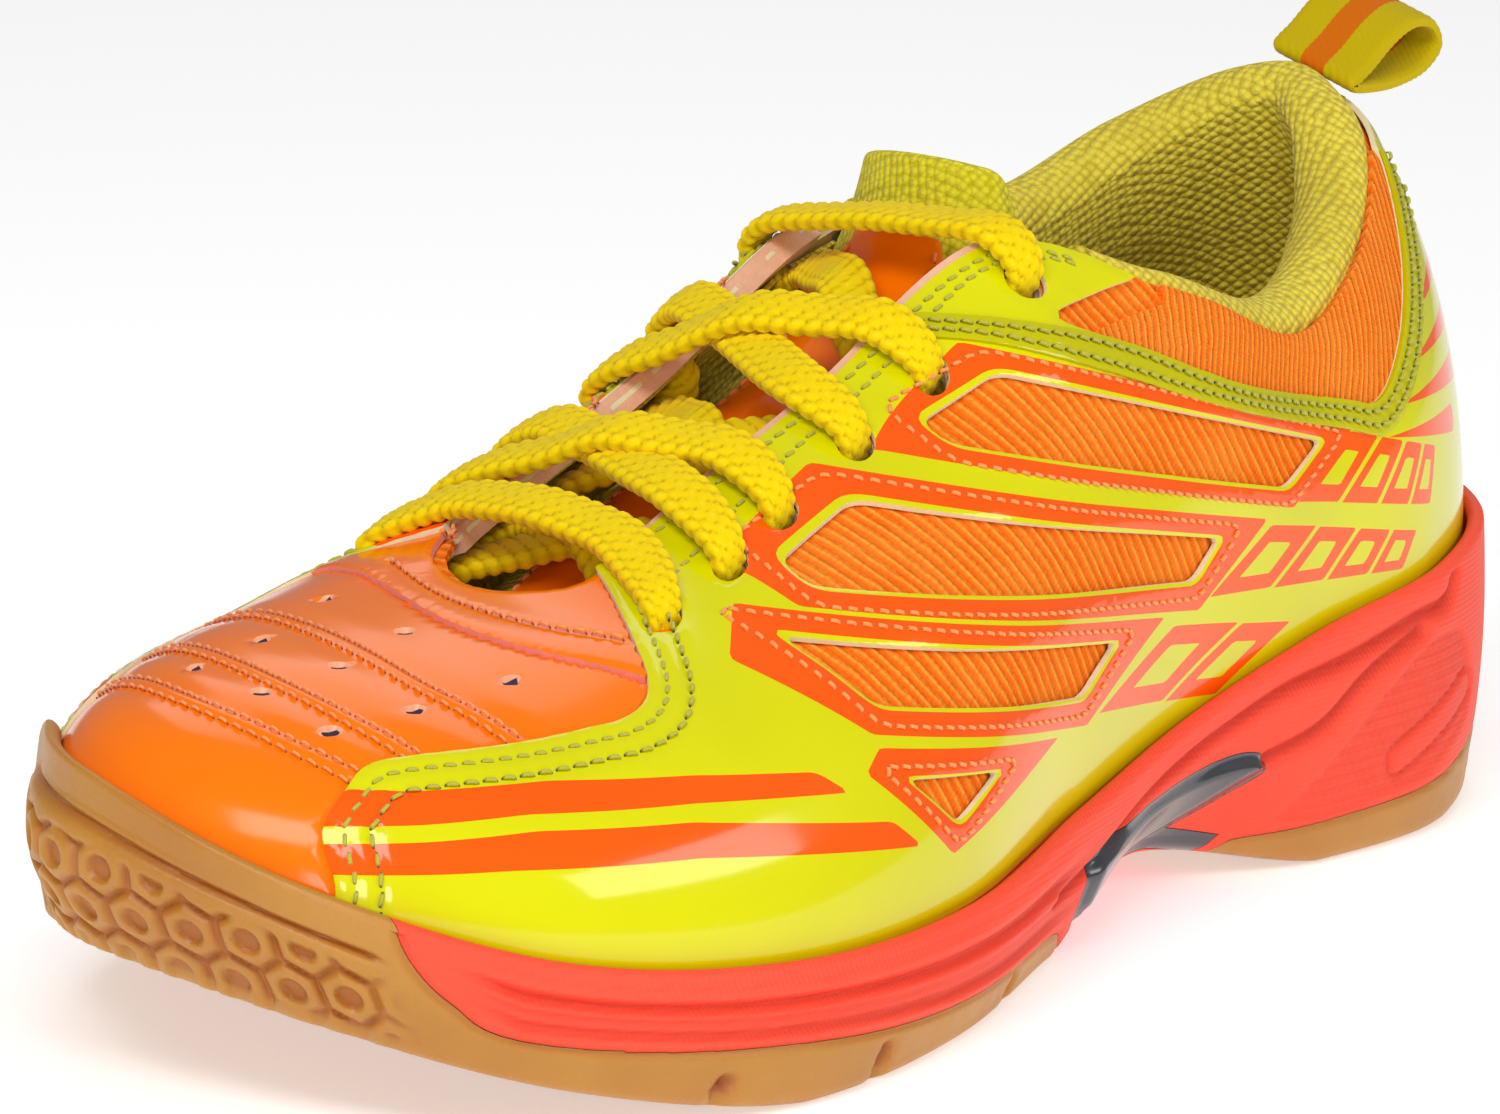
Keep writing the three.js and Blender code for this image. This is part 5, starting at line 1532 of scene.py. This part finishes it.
def sole_part(name, keep, remove, material, replaces):
    part = raw_solid(name, sole_points, sole_faces)
    tree = KDTree(len(sole_points))
    if keep:
        cut(part, keep, "INTERSECT")
    for tool in remove:
        cut(part, tool, "DIFFERENCE")
    for i, p in enumerate(in_metres(sole_points)):
        tree.insert(Vector(p), i)
    tree.balance()
    # Each point keeps the pressed depth that its material turns into painted groove shade.
    values = [flat_relief[tree.find(v.co)[1]] for v in part.data.vertices]
    add_values(part, "relief", values)
    part.data.materials.clear()
    part.data.materials.append(material)
    part.data.shade_smooth()
    part.data.set_sharp_from_angle(angle=math.radians(38))
    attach(part, "shoe")
    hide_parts(*replaces)


fore_line = curve(FORE_GUM_TOP, 6).tolist()
heel_line = curve(HEEL_GUM_TOP, 6).tolist()
fore_outline = [(-190, -5), *fore_line, (-117, 70), (-190, 70)]
fore_gum = side_prism(fore_outline, slanted=True)
fore_room = side_prism(grown(fore_outline, PARTING).tolist(), slanted=True)
heel_gum = side_prism([*heel_line, (170, -5)])
heel_room = side_prism(grown([*heel_line, (170, -5)], PARTING).tolist())
arch = side_prism(ARCH)
wing = side_prism(closed_curve(SHANK_WING))
wing_room = side_prism(grown(closed_curve(SHANK_WING), PARTING).tolist())
plate = side_prism(SHANK_PLATE)
plate_room = side_prism(grown(SHANK_PLATE, PARTING).tolist())
sole_part("gum_forefoot", fore_gum, [], GUM, ["outsole_forefoot"])
sole_part("gum_heel", heel_gum, [], GUM, ["outsole_heel"])
rooms = [fore_room, heel_room, arch, wing_room, plate_room]
sole_part("foam_midsole", None, rooms, CORAL, ["midsole"])
cut(wing, plate, "UNION")
sole_part("shank_plate", wing, [], SHANK, ["shank"])
for tool in (fore_gum, fore_room, heel_gum, heel_room, arch, wing, wing_room, plate, plate_room):
    bpy.data.objects.remove(tool)

# ------------------------------------------------------------------ CAD pieces that stay, in their materials

STAYING = {
    "toe_puff": FILM, "heel_counter": FILM, "eyestay_backing_lateral": FILM, "eyestay_backing_medial": FILM,
    "mesh_vamp": SIDE_MESH, "vamp_lining": KNIT, "strobel_board": BOARD, "sockliner": SOCK,
    "aglet_lateral": FILM, "aglet_medial": FILM,
}
for node_name, material in STAYING.items():
    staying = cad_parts[node_name]
    staying.data.materials.clear()
    staying.data.materials.append(material)

# ------------------------------------------------------------------ floor, lights and camera

FLOOR_SIZE = 6.0
half = FLOOR_SIZE / 2
floor_mesh = bpy.data.meshes.new("floor")
floor_corners = [(-half, -half, 0), (half, -half, 0), (half, half, 0), (-half, half, 0)]
floor_mesh.from_pydata(floor_corners, [], [(0, 1, 2, 3)])
floor = bpy.data.objects.new("floor", floor_mesh)
bpy.context.scene.collection.objects.link(floor)
floor_look = Shader("floor", (0.85, 0.85, 0.85), 0.9, Emission_Strength=0.44)
floor_look.surface.inputs["Emission Color"].default_value = (1, 1, 1, 1)
floor_mesh.materials.append(floor_look.material)


def area_light(name, position, target, size, power):
    data = bpy.data.lights.new(name, "AREA")
    data.shape = "RECTANGLE"
    data.size, data.size_y = size
    data.energy = power
    lamp = bpy.data.objects.new(name, data)
    lamp.location = position
    lamp.rotation_euler = (Vector(target) - Vector(position)).to_track_quat("-Z", "Y").to_euler()
    bpy.context.scene.collection.objects.link(lamp)


area_light("key", (-0.75, -0.35, 1.0), (-0.05, 0, 0.04), (0.9, 0.42), 8.5)
area_light("toe", (-1.2, -0.75, 0.35), (-0.05, 0, 0.05), (0.5, 0.3), 3.4)
area_light("side", (0.35, -1.2, 0.75), (0, 0, 0.05), (0.9, 0.4), 5)
area_light("back", (0.9, 0.7, 1.1), (0, 0, 0.05), (1.1, 0.8), 3)

world = bpy.data.worlds.new("studio")
world.use_nodes = True
world.node_tree.nodes["Background"].inputs["Color"].default_value = (1, 1, 1, 1)
world.node_tree.nodes["Background"].inputs["Strength"].default_value = 0.25
bpy.context.scene.world = world
bpy.context.scene.view_settings.view_transform = "Standard"

CAMERA_AZIMUTH = math.radians(-50.54)
CAMERA_ELEVATION = math.radians(12.86)
CAMERA_ROLL = math.radians(2.394)
CAMERA_TARGET = np.array([-14.88, -10.29, 54.86])
CAMERA_DISTANCE = 861.442
CAMERA_LENS = 151.3

level = math.cos(CAMERA_ELEVATION)
back = np.array([
    math.sin(CAMERA_AZIMUTH) * level, -math.cos(CAMERA_AZIMUTH) * level, math.sin(CAMERA_ELEVATION),
])
right = np.array([math.cos(CAMERA_AZIMUTH), math.sin(CAMERA_AZIMUTH), 0])
above = np.cross(back, right)
camera_x = right * math.cos(CAMERA_ROLL) + above * math.sin(CAMERA_ROLL)
camera_y = above * math.cos(CAMERA_ROLL) - right * math.sin(CAMERA_ROLL)
camera_data = bpy.data.cameras.new("camera")
camera_data.lens = CAMERA_LENS
camera_data.sensor_width = 36
camera_data.clip_start = 0.01
camera = bpy.data.objects.new("camera", camera_data)
place = (CAMERA_TARGET + ORIGIN_SHIFT + back * CAMERA_DISTANCE) * MM
camera.matrix_world = Matrix([
    [camera_x[i], camera_y[i], back[i], place[i]] for i in range(3)
] + [[0, 0, 0, 1]])
bpy.context.scene.collection.objects.link(camera)
bpy.context.scene.camera = camera
